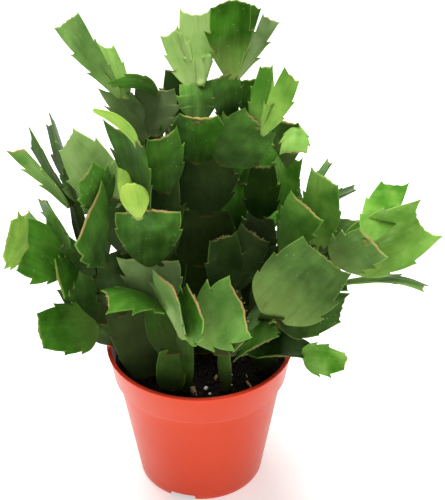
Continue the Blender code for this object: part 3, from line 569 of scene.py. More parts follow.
# %% [markdown]
# A stem has a letter, the place of its foot, the way its points are given, and its pads. A pad has
# its number, the number of the pad it grows from, how far along that pad's tip edge it stands, its
# left and right horn, how many degrees its halves fold up and it bends along its length, how full
# it is, and its age where it isn't mature.
# %% The plan of the plant
STEMS = {}
STEMS["front"] = "f", (-15, -30), sheet, [
    (1, None, 0, (-19, 25, 4), (-7, 25, 6), 5, 0, 1, WOODY),
    (2, 1, -0.2, (-27, 48, 6), (-12, 47, 12), 5, 0, 1, WOODY),
    (3, 2, 0, (-40.5, 70.5, 30), (-10, 69.5, 30), 12, 0, 0.8),
    (4, 3, 0, (-41, 95, 60), (-9, 95.5, 60), 8, 10, 0.84),
    (6, 4, 0, (-47, 140, 55), (-26.5, 127.5, 72), 12, 0, 0.8),
    (7, 6, 0.35, (-50.5, 148, 72), (-48, 143, 66), 40, -25, 0.85, YOUNG),
    (8, 4, -0.35, (-36, 107.5, 64), (-30, 107.5, 64), 0, 0, 1.25, YOUNG),
    (9, 4, -0.5, (-41, 115, 50), (-38, 120, 52), 10, 0, 0.9, YOUNG),
    (10, 3, 0.5, (-24, 107, 40), (-10, 112, 42), 0, 0, 1.2),
    (11, 10, 0.2, (-25, 131, 60), (-11, 137, 58), -15, 0, 1.2),
    (12, 10, -0.2, (-27, 132, 50), (-19, 139, 50), 0, 0, 1.1),
    (13, 2, -0.1, (-50, 53, 38), (-46, 46.5, 54), 15, 62, 1.35),
    (14, None, 7, (-10, 36, 17), (-3, 35, 23), 0, 0, 1, WOODY),
    (15, 14, -0.3, (-23, 65, 42), (-10, 48, 58), 15, 0, 1.0),
    (16, 14, 0, (-6, 58, 40), (2, 40, 54), 10, 0, 1.1),
    (17, 14, 0.3, (15.5, 61.5, 46), (26.5, 31.5, 50), 22, 0, 0.9),
    (18, 12, 0.3, (-31, 157, 48), (-12, 156, 50), 0, 0, 1.0),
    (19, 18, 0, (-44, 162.3, 64), (-43, 158.3, 46), 20, -55, 1.2),
    (20, 12, -0.3, (-50, 156, 56), (-34, 154.5, 50), 0, 0, 1.1),
    (21, 20, 0, (-72, 186, 66), (-60.5, 194, 70), 35, 0, 0.76),
    (22, 20, 0.4, (-52, 180.5, 56), (-43.5, 178, 48), 0, -15, 1.2),
]
STEMS["left"] = "l", (-39, -6), sheet, [
    (0, None, 0, (-44, 31.5, -20), (-35.5, 31.5, -21), 0, 0, 0.85, WOODY),
    (1, 0, 0, (-59, 36, -16), (-45, 41, -10), 0, 0, 1.05, WOODY),
    (2, 1, 0, (-78, 26, 20), (-81, 43, 16), 8, 10, 1.2),
    (3, 1, -0.5, (-70, 68, 8), (-57, 74, 14), 0, 0, 1.1),
    (4, 3, 0, (-91, 65, 26), (-86, 91, 30), 14, 0, 1.0),
    (5, 4, 0, (-98, 72, 40), (-94, 89.5, 42), 0, 0, 1.25),
    (6, 3, -0.4, (-91, 92.5, 8), (-86, 95, -2), 0, 0, 1.2),
    (7, 3, 0.2, (-67, 51, 30), (-72, 70, 30), 8, 0, 0.8),
    (8, 1, 0.6, (-57, 64, 6), (-48, 66, 10), 0, 0, 1.2, WOODY),
    (9, 8, 0, (-70, 77, 22), (-65, 83, 32), 0, 0, 1.1),
    (10, 9, 0, (-80, 101, 36), (-76, 100, 48), 8, 0, 1.35),
    (11, 8, 0, (-65, 100.5, 8), (-60, 100.5, 14), 0, 0, 1.2, WOODY),
    (12, 11, -0.5, (-95.5, 125, 26), (-86.5, 125, 34), 25, 0, 0.72),
    (13, 11, -0.2, (-85, 127, 8), (-85.7, 136.5, 14), 20, 0, 0.9),
    (14, 11, 0.2, (-76.5, 138, -4), (-75, 143.5, 12), 20, 0, 1.0),
    (15, 11, 0.6, (-68, 121, 6), (-60, 128, 0), 8, 0, 1.3),
]
STEMS["side"] = "s", (-26, -18), sheet, [
    (1, None, 0, (-46, 44, 2), (-27, 46, -2), 10, 0, 1.05, WOODY),
    (2, 1, -0.3, (-50, 72, 22), (-36, 79, 28), 0, 0, 1.2),
    (3, 2, 0.6, (-50, 102, 40), (-38, 102, 42), 8, 0, 1.1),
    (4, 2, -0.5, (-61, 78, 52), (-47, 109, 50), 8, 0, 0.85),
    (5, 3, 0.65, (-70, 125, 30), (-63.5, 136, 36), 8, -15, 1.6),
    (6, 3, -0.4, (-60, 109, 54), (-53, 119, 56), 0, 0, 1.5),
]
STEMS["middle"] = "m", (2, 2), sheet, [
    (1, None, 0, (-4, 43, -24), (9, 43, -24), 0, 0, 1, WOODY),
    (2, 1, 0, (-5, 70, -6), (11, 70, -6), 0, 0, 1, WOODY),
    (3, 2, 0, (-8, 95, 10), (15, 95, 10), 0, 0, 1.1, WOODY),
    (4, 3, 0, (-9, 124, 26), (16, 124, 26), 0, 0, 1.1),
    (5, 4, -0.3, (-9, 144, 48), (10, 143, 50), -10, 0, 1.3),
    (6, 4, 0.6, (24, 146, 56), (39, 134, 50), 0, 0, 1.3),
    (7, 5, 0, (-9, 158, 42), (8.5, 161, 36), -12, -10, 0.95),
    (8, 7, 0.1, (-9.5, 196.5, 42), (5, 196, 46), 20, 0, 1.0),
    (9, 7, -0.25, (-18.5, 182.5, 36), (-10.5, 188, 40), 10, 0, 1.1),
    (10, 7, 0.2, (3, 191, 38), (7.5, 193, 28), 0, 0, 0.95),
    (11, 4, 0.5, (12, 142, 34), (26, 143, 36), 0, 0, 1.1),
    (12, 11, -0.5, (7, 161, 58), (20, 166, 54), 8, 0, 0.95),
    (13, 12, 0.5, (6.5, 196, 60), (26, 198, 64), 18, 0, 0.95),
    (14, 12, 0.75, (25.5, 199, 52), (31.5, 196.5, 50), 0, 0, 1.1),
    (15, 12, 1.0, (33, 194, 66), (41, 190, 62), 20, 0, 0.74),
    (16, 11, 0.9, (21, 161, 44), (30, 162, 42), 0, 0, 1.0),
    (17, 6, 0.1, (31.5, 168, 62), (37.5, 168.5, 64), 10, 0, 1.6),
    (18, 6, 0.4, (44, 167, 66), (51, 160, 62), 18, 0, 1.12),
    (19, 4, -0.5, (-16, 142, 30), (-5, 142, 32), 0, 0, 1.1),
    (20, 19, 0, (-16, 166, 38), (-4, 168, 40), 0, 0, 1.2),
]
STEMS["centre"] = "c", (14, -30), sheet, [
    (1, None, 0, (10.5, 25, 4), (16, 25, 6), 0, 0, 1, WOODY),
    (2, 1, 0, (5, 55, 16), (21, 55.5, 18), 0, 0, 1, WOODY),
    (3, 2, 0, (6, 80, 36), (19, 84, 34), 20, 0, 1.2),
    (4, 2, 0.3, (22, 89, 26), (36, 80, 24), 8, 0, 1.0),
]
STEMS["right"] = "r", (34, -12), sheet, [
    (1, None, 0, (31, 35, -10), (42, 34, -6), 0, 0, 1, WOODY),
    (2, 1, 0.5, (30, 21, 12), (52, 21, 14), 6, 0, 1.3),
    (3, 2, 0.9, (74, 24, 25), (73.5, 16, 20), 6, -15, 1.55),
    (4, 1, -0.1, (33, 58, 6), (44, 58, 8), 0, 0, 1.1, WOODY),
    (5, 1, 0.2, (31, 42, 30), (43, 40, 30), 0, 0, 1.1, WOODY),
    (6, 5, -0.3, (53, 82, 50), (76.5, 63.5, 44), 8, 8, 1.08),
    (7, 5, 0.6, (76, 53, 20), (72, 39, 24), 0, 10, 1.3),
    (8, 4, 0, (18, 24, 26), (37, 38, 32), 0, 0, 0.9),
    (9, 5, -0.3, (18.5, 19, 34), (40, 31.5, 36), 8, 0, 0.7),
]
STEMS["outer"] = "o", (28, 8), sheet, [
    (1, None, 0, (20, 47, -25), (36, 47, -25), 0, 0, 1, WOODY),
    (2, 1, 0.2, (36, 77, 4), (47, 77, 8), 0, 0, 1.1, WOODY),
    (3, 2, 0.3, (46.5, 104.5, 38), (62.5, 90, 42), 8, 0, 0.85),
    (4, 2, 0, (43, 124, 12), (52, 122, 18), 8, 0, 0.95),
    (6, 4, -0.5, (36, 141.5, 36), (50, 138.5, 36), 8, 0, 1.0),
    (5, 6, 0.9, (54, 122.5, 42), (41, 122.5, 44), -8, -20, 0.9),
    (8, 1, -0.2, (26, 74, -8), (37, 74, -6), 0, 0, 1.1, WOODY),
    (9, 8, 0, (25.5, 98, 12), (37, 90, 14), 6, 0, 1.2),
    (10, 9, 0, (27, 118, 26), (38, 118, 28), 0, 0, 1.3),
    (11, 1, 0.5, (46, 60, -10), (54, 62, -6), 0, 0, 1.1, WOODY),
    (12, 11, -0.6, (53, 78, 10), (68, 76, 14), 0, 0, 1.1, WOODY),
    (13, 12, 0, (57.5, 117, 30), (70.5, 108.5, 34), 12, 8, 1.15),
    (14, 12, -0.3, (52, 100, 4), (60, 100, 6), 0, 0, 1.1),
    (15, 14, 0, (65, 121, 12), (67, 119, 22), 0, 0, 1.1),
    (16, 14, 0.3, (78.5, 108, 8), (79, 105.5, 22), 10, 0, 1.0),
    (17, 12, 0.3, (71, 92, 16), (82.5, 90.5, 20), 10, 0, 0.95),
    (18, 11, 0.7, (66, 74, 12), (74, 68, 16), 0, 0, 1.1, WOODY),
    (19, 18, 0, (81, 86, 42), (95, 71.5, 44), 8, 0, 0.98),
    (20, 18, 0.5, (112, 100, 34), (122.5, 82, 30), 22, 0, 1.22),
    (21, 19, -0.2, (92, 110, 10), (105.5, 109, 6), 8, 0, 1.15),
    (22, 11, 0.5, (73, 61, 4), (75, 55, 10), 0, 0, 1.1, WOODY),
    (23, 22, 0, (116, 58.5, 16), (114, 55.5, 24), 10, -35, 1.1),
]
STEMS["back_left"] = "p", (-14, 20), room, [
    (1, None, 0, (-22, 20, 104), (-8, 24, 106), 0, 0, 1, WOODY),
    (2, 1, 0, (-27, 22, 138), (-12, 26, 140), 0, 0, 1, WOODY),
    (3, 2, 0.2, (-25, 18, 172), (-6, 24, 174), 8, 0, 1.0),
    (4, 3, -0.4, (-37, 32, 200), (-24, 22, 205), 12, 10, 1.2),
    (5, 3, 0.4, (-15, 34, 206), (2, 28, 211), 10, -10, 1.0),
    (6, 2, -0.5, (-50, 38, 158), (-46, 20, 163), 8, 15, 1.1),
    (7, 6, 0.3, (-58, 60, 150), (-68, 45, 144), 15, 25, 1.2),
    (8, 1, -0.3, (-28, 54, 118), (-44, 40, 126), 6, 12, 0.95),
    (9, 8, 0.2, (-36, 76, 140), (-54, 64, 136), 18, 12, 1.0),
    (10, 9, 0, (-38, 96, 130), (-54, 90, 138), 8, 40, 1.3),
    (11, 8, 0.5, (-50, 76, 112), (-62, 60, 118), 14, 25, 0.9),
]
STEMS["back_right"] = "q", (12, 22), room, [
    (1, None, 0, (6, 24, 104), (20, 24, 106), 0, 0, 1, WOODY),
    (2, 1, 0, (8, 26, 138), (24, 28, 140), 0, 0, 1, WOODY),
    (3, 2, 0, (10, 20, 172), (28, 28, 174), 8, 0, 0.95),
    (4, 3, -0.4, (4, 30, 204), (20, 36, 209), 14, 10, 1.2),
    (5, 3, 0.4, (29, 36, 196), (43, 24, 192), 8, 12, 1.0),
    (6, 2, 0.5, (45, 40, 160), (44, 22, 154), 8, 12, 1.1),
    (7, 6, -0.3, (56, 60, 152), (62, 42, 146), 20, 22, 1.0),
    (8, 6, 0.3, (34, 62, 178), (48, 50, 172), 6, -12, 1.2),
    (9, 1, 0.3, (26, 56, 118), (38, 42, 126), 6, 12, 0.9),
    (10, 9, 0, (34, 80, 136), (50, 68, 142), 16, 14, 1.1),
    (11, 10, 0.2, (30, 94, 160), (46, 84, 166), 6, -22, 1.0),
    (12, 9, 0.4, (54, 72, 116), (64, 54, 124), 14, 22, 1.1),
    (13, 12, 0, (72, 88, 102), (86, 72, 108), 8, 35, 1.3),
    (14, 10, -0.5, (14, 96, 146), (28, 88, 154), 12, 12, 1.1),
]
STEMS["back"] = "b", (0, 34), room, [
    (1, None, 0, (-8, 42, 100), (8, 46, 102), 0, 0, 1, WOODY),
    (2, 1, 0, (-9, 62, 120), (7, 58, 124), 6, 14, 0.9),
    (3, 2, 0, (-13, 80, 144), (5, 86, 142), 16, -10, 1.0),
    (4, 2, 0.4, (14, 88, 108), (24, 72, 114), 10, 30, 1.1),
    (5, 2, -0.4, (-17, 92, 106), (-30, 80, 112), 16, 30, 1.2),
    (6, 3, 0, (-15, 86, 172), (5, 92, 176), 8, -12, 1.1),
]
print("pads in the plan:", {stem: len(rows) for stem, (*_, rows) in STEMS.items()})

# %% [markdown]
# The functions below turn the plan into places: a pad is a flat plate on its own frame, bent along
# its length and folded at its midrib, and it grows from a point near the tip edge of its parent.
# %% Pads in their places
def unit(vector):
    return vector / np.linalg.norm(vector)


def laid_out(foot, left, right, fold, bend, full, age):
    """The frame and proportions of a pad that stands on foot and whose horns reach left and right."""
    horn_station, horn_share = HORNS[age][:2]
    tip = (left + right) / 2
    along = unit(tip - foot)
    span = right - left
    across = span - (span @ along) * along
    half = np.linalg.norm(across) / 2
    slant = (span @ along) / (2 * half)
    facing = np.cross(unit(across), along)
    fold = math.radians(fold)
    rib_tip = tip - facing * half * math.tan(fold)
    along = unit(rib_tip - foot)
    facing = unit(facing - (facing @ along) * along)
    horn_half = half / math.cos(fold)
    return {
        "foot": foot,
        "along": along,
        "across": np.cross(along, facing),
        "facing": facing,
        "length": np.linalg.norm(rib_tip - foot) / horn_station,
        "horn_half": horn_half,
        "half": horn_half / horn_share * full,
        "slant": slant,
        "fold": fold,
        "bend": math.radians(bend),
        "full": full,
        "age": age,
    }


def on_pad(pad, station, side, lift):
    """Points of a pad, bent and folded: station 0 to 1 along it, side and lift in millimetres."""
    station, side, lift = (np.asarray(values, float) for values in (station, side, lift))
    bend = pad["bend"]
    if abs(bend) < 1e-3:
        turn = np.zeros_like(station)
        forward = station * pad["length"]
        rise = np.zeros_like(station)
    else:
        turn = bend * (station - 0.5)
        radius = pad["length"] / (2 * math.sin(bend / 2))
        forward = radius * (np.sin(turn) + math.sin(bend / 2))
        rise = -radius * (np.cos(turn) - math.cos(bend / 2))
    ahead = np.outer(np.cos(turn), pad["along"]) + np.outer(np.sin(turn), pad["facing"])
    above = np.outer(np.cos(turn), pad["facing"]) - np.outer(np.sin(turn), pad["along"])
    rib = pad["foot"] + np.outer(forward, pad["along"]) + np.outer(rise, pad["facing"])
    out = side * math.cos(pad["fold"])
    folded = (np.sqrt(side**2 + RIB_ROUNDING**2) - RIB_ROUNDING) * math.sin(pad["fold"])
    slid = pad["slant"] * out * np.clip(station, 0, 1.1)
    return rib + ahead * slid[:, None] + np.outer(out, pad["across"]) + above * (folded + lift)[:, None]


print("a joint lies", JOINT_STATION, "of the way along a pad")

# %% [markdown]
# The plan is read from the soil up, since a pad can only be placed once the one below it stands.
# Sister pads from the same tip are layered, so that they don't run through one another.
# %% Growing the plant
def stacked(parent, row, rows, place, facing):
    """How far in front of its parent's middle a pad's foot stands, so that sisters lie in layers."""

    def reach(sister):
        return float((place(sister[3]) + place(sister[4])) @ facing)

    sisters = sorted((other for other in rows if other[1] == parent), key=reach)
    return STACK * (sisters.index(row) - (len(sisters) - 1) / 2)


def grown(stems):
    """Every pad of every stem, each placed on the tip edge of the pad it grows from."""
    plant = {}
    for stem, (letter, stand, place, rows) in stems.items():
        pads = {}
        for row in rows:
            number, parent, shift, left, right, fold, bend, full, *age = row
            left = place(left)
            right = place(right)
            if parent is None:
                foot = np.array([stand[0] + shift, stand[1], PAD_START_Z])
            else:
                below = pads[f"{letter}{parent}"]
                edge = shift * below["half"] * HORNS[below["age"]][1]
                lift = stacked(parent, row, rows, place, below["facing"])
                foot = on_pad(below, [JOINT_STATION], [edge], [lift])[0]
                heading = unit((left + right) / 2 - foot)
                foot = foot - SINK * unit(heading + below["along"])
            age = age[0] if age else MATURE
            pads[f"{letter}{number}"] = laid_out(foot, left, right, fold, bend, full, age)
        plant[stem] = pads
    return plant


plant = grown(STEMS)
print("pads of the plant:", sum(len(pads) for pads in plant.values()))

# %% [markdown]
# A pad is flat and leathery, a few millimetres thick at its midrib and thin at its margin. Each side
# has two or three claws that point forward, and the tip is cut off square between two horns. The
# blank is a grid with a Solidify modifier, so it is one closed plate. A pad is a copy of it whose
# points are moved to the pad's outline and thickness, and then bent, folded and put in its place.
# %% The pad blank
ROW_COUNTS = {"foot": 18, "notch": 2, "middle": 11, "tip": 13}
PAD_ROWS = ROW_COUNTS["foot"] + 2 * ROW_COUNTS["notch"] + ROW_COUNTS["middle"] + ROW_COUNTS["tip"]
# Where the columns of half a pad lie: shares of the way out to the rounded margin, whose own
# columns lie the given millimetres in from it
COLUMN_SHARES = [0.0, 0.14, 0.3, 0.46, 0.62, 0.78, 0.9, 1.0, 1.0, 1.0]
MARGIN_INSETS = [0.9, 0.3, 0.0]
HALF_COLUMNS = len(COLUMN_SHARES) - 1
BLANK_THICKNESS = 0.2

bpy.ops.object.select_all(action="DESELECT")
bpy.ops.mesh.primitive_grid_add(x_subdivisions=2 * HALF_COLUMNS, y_subdivisions=PAD_ROWS, size=2)
pad_blank = bpy.context.object
pad_blank.name = "pad"
plate = pad_blank.modifiers.new("plate", "SOLIDIFY")
plate.thickness = BLANK_THICKNESS
plate.offset = 0.0
apply_modifiers(pad_blank)
pad_blank.data.shade_smooth()
blank_points = points_of(pad_blank)
blank_column = np.rint(blank_points[:, 0] * HALF_COLUMNS).astype(int)
blank_row = np.rint((blank_points[:, 1] + 1) / 2 * PAD_ROWS).astype(int)
blank_skin = np.sign(blank_points[:, 2])
print("pad blank:", len(blank_points), "points,", len(pad_blank.data.polygons), "faces")

# %% [markdown]
# The outline runs up each side in three scallops, from the foot to the first claw, from its notch to
# the second, and on to the horn. A slim pad widens evenly, and a full one swells just past its foot.
# Claws differ from pad to pad, by a draw from a fixed seed. Young pads have small claws, and woody
# ones have worn theirs down. A few pads that stand out have claws or a tip edge of their own.
# %% Claws and sides
def by_pad(groups):
    """The value of each pad, from the pads of each value."""
    return {number: value for value, numbers in groups.items() for number in numbers.split()}


# How far a claw reaches in millimetres, and the share of it that some pads have
CLAWS = {MATURE: 2.2, WOODY: 0.4, YOUNG: 0.15}
CLAW_GAINS = by_pad({
    0.3: "r7", 0.5: "f4", 0.6: "o13", 0.7: "r6 o20", 0.8: "f3 l2", 1.0: "r3", 1.1: "f17", 1.2: "f13 o5",
    1.5: "l5",
})
# Claws differ by these shares, stand this much nearer to the foot or the tip, and lean forward
CLAW_DRAW = (0.6, 1.2)
CLAW_JOG = 0.03
CLAW_FORWARD = 0.75
CLAW_OUT = 0.6
HORN_CLAW = 0.2
NOTCH_BACK = 0.006
# Half width of the foot, station and half width at both claws, depth of a notch behind a claw, and
# how fast a side widens
SIDES = {
    MATURE: (0.18, (0.40, 0.80), (0.69, 1.0), 0.055, 1.1),
    WOODY: (0.55, (0.40, 0.98), (0.70, 0.97), 0.03, 1.8),
    YOUNG: (0.30, (0.36, 0.99), (0.68, 0.93), 0.0, 2.6),
}
# How much a pad swells just past its foot, from 0 to 1, where its fullness doesn't tell, and what
# that adds to its first half width and to how fast it widens
ROUND_FULLNESS = 0.35
OWN_ROUNDNESS = by_pad({
    0.8: "o20", 0.9: "r6", 1.0: "f13 l2 r3 r7 o19",
})
SWELL = 0.22
SWELL_POWER = 1.0
# Young pads that are still round as a coin, with the turn of their outline in degrees
DISCS = {"f8"}
DISC_TURN = (16.0, 150.0)
DISC_FOOT = 0.3

print("pads with claws of their own:", len(CLAW_GAINS))

# %% [markdown]
# The margin is worked out for one side at a time, so no two sides are alike. Each scallop eases
# outward and ends in a hook, which is the claw, and a short step back behind it is the notch.
# %% Outline of a pad
def eased(value):
    """0 to 1, with a soft start and end."""
    value = np.clip(value, 0.0, 1.0)
    return value * value * (3 - 2 * value)


def scallop(start, end, rows, bulge, claw, power=1.0):
    """Stations and half widths from start to end, bulging outward, with a claw at the end."""
    way = 1 - (1 - np.arange(1, rows + 1) / rows) ** 1.3
    rise = 1 - (1 - way) ** power
    hook = way**9
    station = start[0] + (end[0] - start[0]) * way + claw[0] * hook
    half = start[1] + (end[1] - start[1]) * rise + bulge * 4 * way * (1 - way) + claw[1] * hook
    return list(zip(station, half))


def disc_outline(half, horn_station):
    """The margin of a round pad, evenly by the turn of its outline."""
    turn = np.radians(np.linspace(*DISC_TURN, PAD_ROWS + 1))
    way = (math.cos(turn[0]) - np.cos(turn)) / (math.cos(turn[0]) - math.cos(turn[-1]))
    station = np.where(way > 0, DISC_FOOT + (horn_station - DISC_FOOT) * way, 0.0)
    return np.stack([station, np.sin(turn) * half], axis=1)


def side_outline(pad, number, draw):
    """Station and half width of every row's margin point on one side, in shares and millimetres."""
    half, length, age = pad["half"], pad["length"], pad["age"]
    horn_station = HORNS[age][0]
    claw_size = CLAWS[age] * CLAW_GAINS.get(number, 1.0) * draw.uniform(*CLAW_DRAW)
    jog = draw.uniform(-CLAW_JOG, CLAW_JOG, 2)
    if number in DISCS:
        return disc_outline(half, horn_station)
    foot, (first_station, first), (second_station, second), notch, power = SIDES[age]
    if age == MATURE:
        fullness = min(max((pad["full"] - 1.0) / ROUND_FULLNESS, 0.0), 1.0)
        roundness = OWN_ROUNDNESS.get(number, fullness)
        first += SWELL * roundness
        power += SWELL_POWER * roundness
    claw = (CLAW_FORWARD * claw_size / length, CLAW_OUT * claw_size)
    start = (0.0, foot * half)
    points = [start]
    for part, station, share, bulge, widening, depth in (
        ("foot", first_station + jog[0], first, 0.02, power, 1.0),
        ("middle", second_station + jog[1], second, 0.035, 1.25, 1.2),
    ):
        points += scallop(start, (station, share * half), ROW_COUNTS[part], bulge * half, claw, widening)
        start = (station - NOTCH_BACK, (share - notch * depth * claw_size) * half)
        points += scallop(points[-1], start, ROW_COUNTS["notch"], 0.0, (0, 0))
    claw = (HORN_CLAW * claw_size / length, HORN_CLAW * claw_size)
    points += scallop(start, (horn_station, pad["horn_half"]), ROW_COUNTS["tip"], 0.05 * half, claw, 1.3)
    return np.array(points)


print("columns and rows of a pad:", 2 * HALF_COLUMNS, "x", PAD_ROWS)

# %% [markdown]
# Rows cross the pad in a shallow V, as the rib tip lies behind the horns. Near the margin and the
# tip edge the two skins close in a quarter round. The foot is a short, thick neck.
# %% Thickness, tip edge and cork
# Half thickness at the midrib and at the margin, and what the neck adds to it, in mm
THICK_MID = 1.2
THICK_RIM = 0.42
NECK_THICK = 0.6
# How near to an edge the skins close, and how wide a midrib is to each side, in mm
SKIN_ROUND = 0.45
RIB_WIDTH = 1.7
# Share of the pad's length
NECK_LENGTH = 0.10
# How far in from the tip edge the last rows lie, in mm
EDGE_ROWS = [0.9, 0.3, 0.0]
# How far the middle of a tip edge stands out in millimetres, or in when it is negative
TIP_BOWS = {MATURE: 0.0, WOODY: 0.2, YOUNG: 1.3}
OWN_TIP_BOWS = by_pad({
    -4.5: "o20", -1.6: "f22", -1.2: "f17", -1.0: "m8", 1.0: "f8 s5", 1.5: "f21 m14", 1.6: "r2",
    1.8: "l2", 2.0: "r3", 4.5: "m13",
})
# How far the tip edge is dented, and the margins wave, in millimetres
TIP_DENT = 0.3
MARGIN_WAVE = 0.5
# How far margins curl up or down, and how far the middle arches, in millimetres
CUP = (-0.9, 1.3)
ARCH = (-0.7, 0.9)
# Rows bend towards the claws by these powers of the way out, along the side and at the tip edge
BOW_POWER = 7
EAR_POWER = 5
# How strongly the corky line of the tip edge shows, and the cork in the notches
TIP_CORK = 0.3
NOTCH_CORK = 0.7
OWN_TIP_CORKS = by_pad({
    0.12: "r6", 0.2: "r2 r9 o13 o20", 0.5: "f2", 0.6: "f22 m6 c4", 0.8: "m5 o6 o19",
    0.9: "f13 l4 l12 o3", 1.0: "f4 f15 f16 f17 l6 s4",
})

print("pads with a tip edge of their own:", len(OWN_TIP_BOWS))

# %% [markdown]
# Each point of the blank knows its row and its column, and these find its place on the outline.
# Its thickness, its curl and what its finish needs follow from how far it is from every edge.
# %% From the blank to a pad
def shape_pad(pad, number, draw):
    """Points of one pad in millimetres, and what its finish needs at each of them."""
    sides = {-1: side_outline(pad, number, draw), 1: side_outline(pad, number, draw)}
    horn_station, _, edge_station = HORNS[pad["age"]]
    length = pad["length"]
    side_sign = np.where(blank_column < 0, -1, 1)
    column = np.abs(blank_column)
    margin = np.where((side_sign < 0)[:, None], sides[-1][blank_row], sides[1][blank_row])
    share = np.array(COLUMN_SHARES)[column]
    first_inset = HALF_COLUMNS - len(MARGIN_INSETS) + 1
    inset = np.full(len(column), MARGIN_INSETS[0])
    for step, value in enumerate(MARGIN_INSETS):
        inset[column == first_inset + step] = value
    half = margin[:, 1]
    side = share * np.maximum(half - inset, 0.3 * half)

    rib_station = blank_row / PAD_ROWS * edge_station
    share_out = side / half
    bow = share_out**BOW_POWER
    ear = share_out**EAR_POWER
    dents = TIP_DENT * np.sin(side_sign * side * draw.uniform(1.2, 2.0) + draw.uniform(0, 6))
    tip_bow = OWN_TIP_BOWS.get(number, TIP_BOWS[pad["age"]]) * (1 - share_out**2)
    tip = edge_station + (horn_station - edge_station) * ear + (dents * (1 - bow) + tip_bow) / length
    near_tip = eased((rib_station / edge_station - 0.7) / 0.3)
    station = rib_station + (margin[:, 0] - rib_station) * bow + near_tip * tip_bow / length
    from_end = PAD_ROWS - blank_row
    for step, value in enumerate(reversed(EDGE_ROWS)):
        last = from_end == step
        station[last] = (tip - value / length)[last]

    to_margin = half - side
    to_tip = (tip - station) * length
    to_edge = np.minimum(to_margin, to_tip)
    close = np.clip(1 - to_edge / SKIN_ROUND, 0, 1)
    quarter = 0.2 + 0.8 * np.sqrt(1 - close**2)
    lens = 1 - (side / half) ** 2
    rib = np.exp(-((side / RIB_WIDTH) ** 2))
    neck = 1 - eased(station / NECK_LENGTH)
    # A pad thins by a third towards its tip
    mid = THICK_MID * (1 - 0.35 * eased((station - 0.6) / 0.4))
    thick = THICK_RIM + (mid - THICK_RIM) * (0.55 * lens + 0.45 * rib)
    thick += NECK_THICK * neck * (0.3 + 0.7 * lens)
    thick *= quarter
    # The margins wave about once along the pad
    wave = MARGIN_WAVE * share_out**2 * np.sin(6.5 * station + draw.uniform(0, 6))
    cup = draw.uniform(*CUP) * share_out**2 + draw.uniform(*ARCH) * 4 * station * (1 - station)
    lift = blank_skin * thick + (wave + cup) * (1 - neck)
    points = on_pad(pad, station, side_sign * side, lift)

    # Cork lines the tip edge between the horns, and sits in the notches
    areole = np.clip(1.1 - to_tip / 0.6, 0, 1) * (1 - eased((share_out - 0.62) / 0.22))
    areole *= OWN_TIP_CORKS.get(number, TIP_CORK if pad["age"] == MATURE else 0.0)
    if pad["age"] == MATURE:
        first_notch = ROW_COUNTS["foot"] + ROW_COUNTS["notch"]
        notches = [first_notch, first_notch + ROW_COUNTS["middle"] + ROW_COUNTS["notch"]]
        areole[np.isin(blank_row, notches) & (to_margin < 0.4)] = NOTCH_CORK
    return points, {
        "across": side_sign * side,
        "along": station * length,
        "station": station,
        "to_margin": to_edge,
        "areole": areole,
    }


print("points shaped for each pad:", len(blank_points))

# %% [markdown]
# Each pad carries its own tone, partly its own colour and partly painted light and shade: 0 is an old
# pad from the crowded middle, nearly black green with painted shade, and 1 a new one that is still
# bright yellow green with painted light. A whitish bloom, partly wax and partly painted sheen, greys
# some pads that grew in the open. The pads that stand out from the rest are named, and the others
# draw theirs.
# %% Tones
# Tones of named pads: the darkest are painted shade for pads deep in the plant, and the brightest are young
# pads with painted light
TONES_WITH_PAINTED_LIGHT_AND_SHADE = by_pad({
    0.02: "s1", 0.04: "m2", 0.05: "m3 o8", 0.06: "m1 c4", 0.08: "f10 m4 c2 o11",
    0.1: "m19 r4 o1 o9 o10", 0.12: "f18 l8 s2 c3", 0.14: "r5", 0.16: "s3", 0.18: "o14",
    0.2: "l0 l11 m11 m20 r1 o2", 0.25: "o12", 0.3: "f2 f14 l1 l3 l9 r7 o16 o18", 0.32: "o6",
    0.34: "f1 f12 f20 c1 r2 r9", 0.36: "l14 r8", 0.39: "r6", 0.4: "l6 l13 l15 m12 o17 o22",
    0.42: "f4 f6", 0.44: "m5 m6 m13", 0.45: "f3", 0.46: "f11 m15",
    0.5: "f19 l2 l7 l10 s4 m7 m14 m16 o15", 0.52: "s6", 0.55: "o19", 0.56: "f13 l4 m17", 0.58: "f16",
    0.6: "f17 f21 o3 o23", 0.62: "f15 l12 o4 o21", 0.66: "r3 o13", 0.7: "o5", 0.72: "s5", 0.74: "o20",
    0.75: "m18", 0.78: "f22", 0.8: "m8 m10", 0.84: "l5 m9", 0.86: "f9", 0.88: "f7", 0.93: "f8",
})
TONE_RANGE = (0.3, 0.56)
# A whitish bloom on each pad, partly wax and partly painted sheen
BLOOM_AND_PAINTED_SHEEN = by_pad({
    0.0: "r3", 0.05: "o21", 0.12: "o20", 0.15: "m7", 0.2: "r6 r8", 0.25: "o5", 0.3: "f17 f18 l15 o17",
    0.4: "f22 l12 o19", 0.45: "f20 f21", 0.5: "o23", 0.6: "f15 m15", 0.7: "l6 s5", 0.75: "f3 m8 m9",
    0.8: "m10",
})
BLOOM_AND_SHEEN_RANGE = (0.0, 0.12)
# How much painted light pales a pad towards its foot. At 0 the foot is darker instead, as painted shade
FOOT_GLOW = 0.0
OWN_FOOT_GLOWS = by_pad({
    0.2: "r3 o3 o6", 0.3: "f3 f7 f8 f9 f21 f22 l2 l5 m17 m18 o5 o13 o21", 0.35: "m8 m9 m10",
    0.4: "f13 l12 s5 o19 o23", 0.5: "l6 m13 o20", 0.55: "r6", 0.6: "f16", 0.7: "f15 m15", 0.9: "f17",
})
# Pads that turn the shiny side of their skin to the light
GLOSS = by_pad({
    0.3: "f4 r3", 0.5: "m15", 0.9: "o20", 1.0: "o13",
})
print("pads with a tone of their own:", len(TONES_WITH_PAINTED_LIGHT_AND_SHADE))

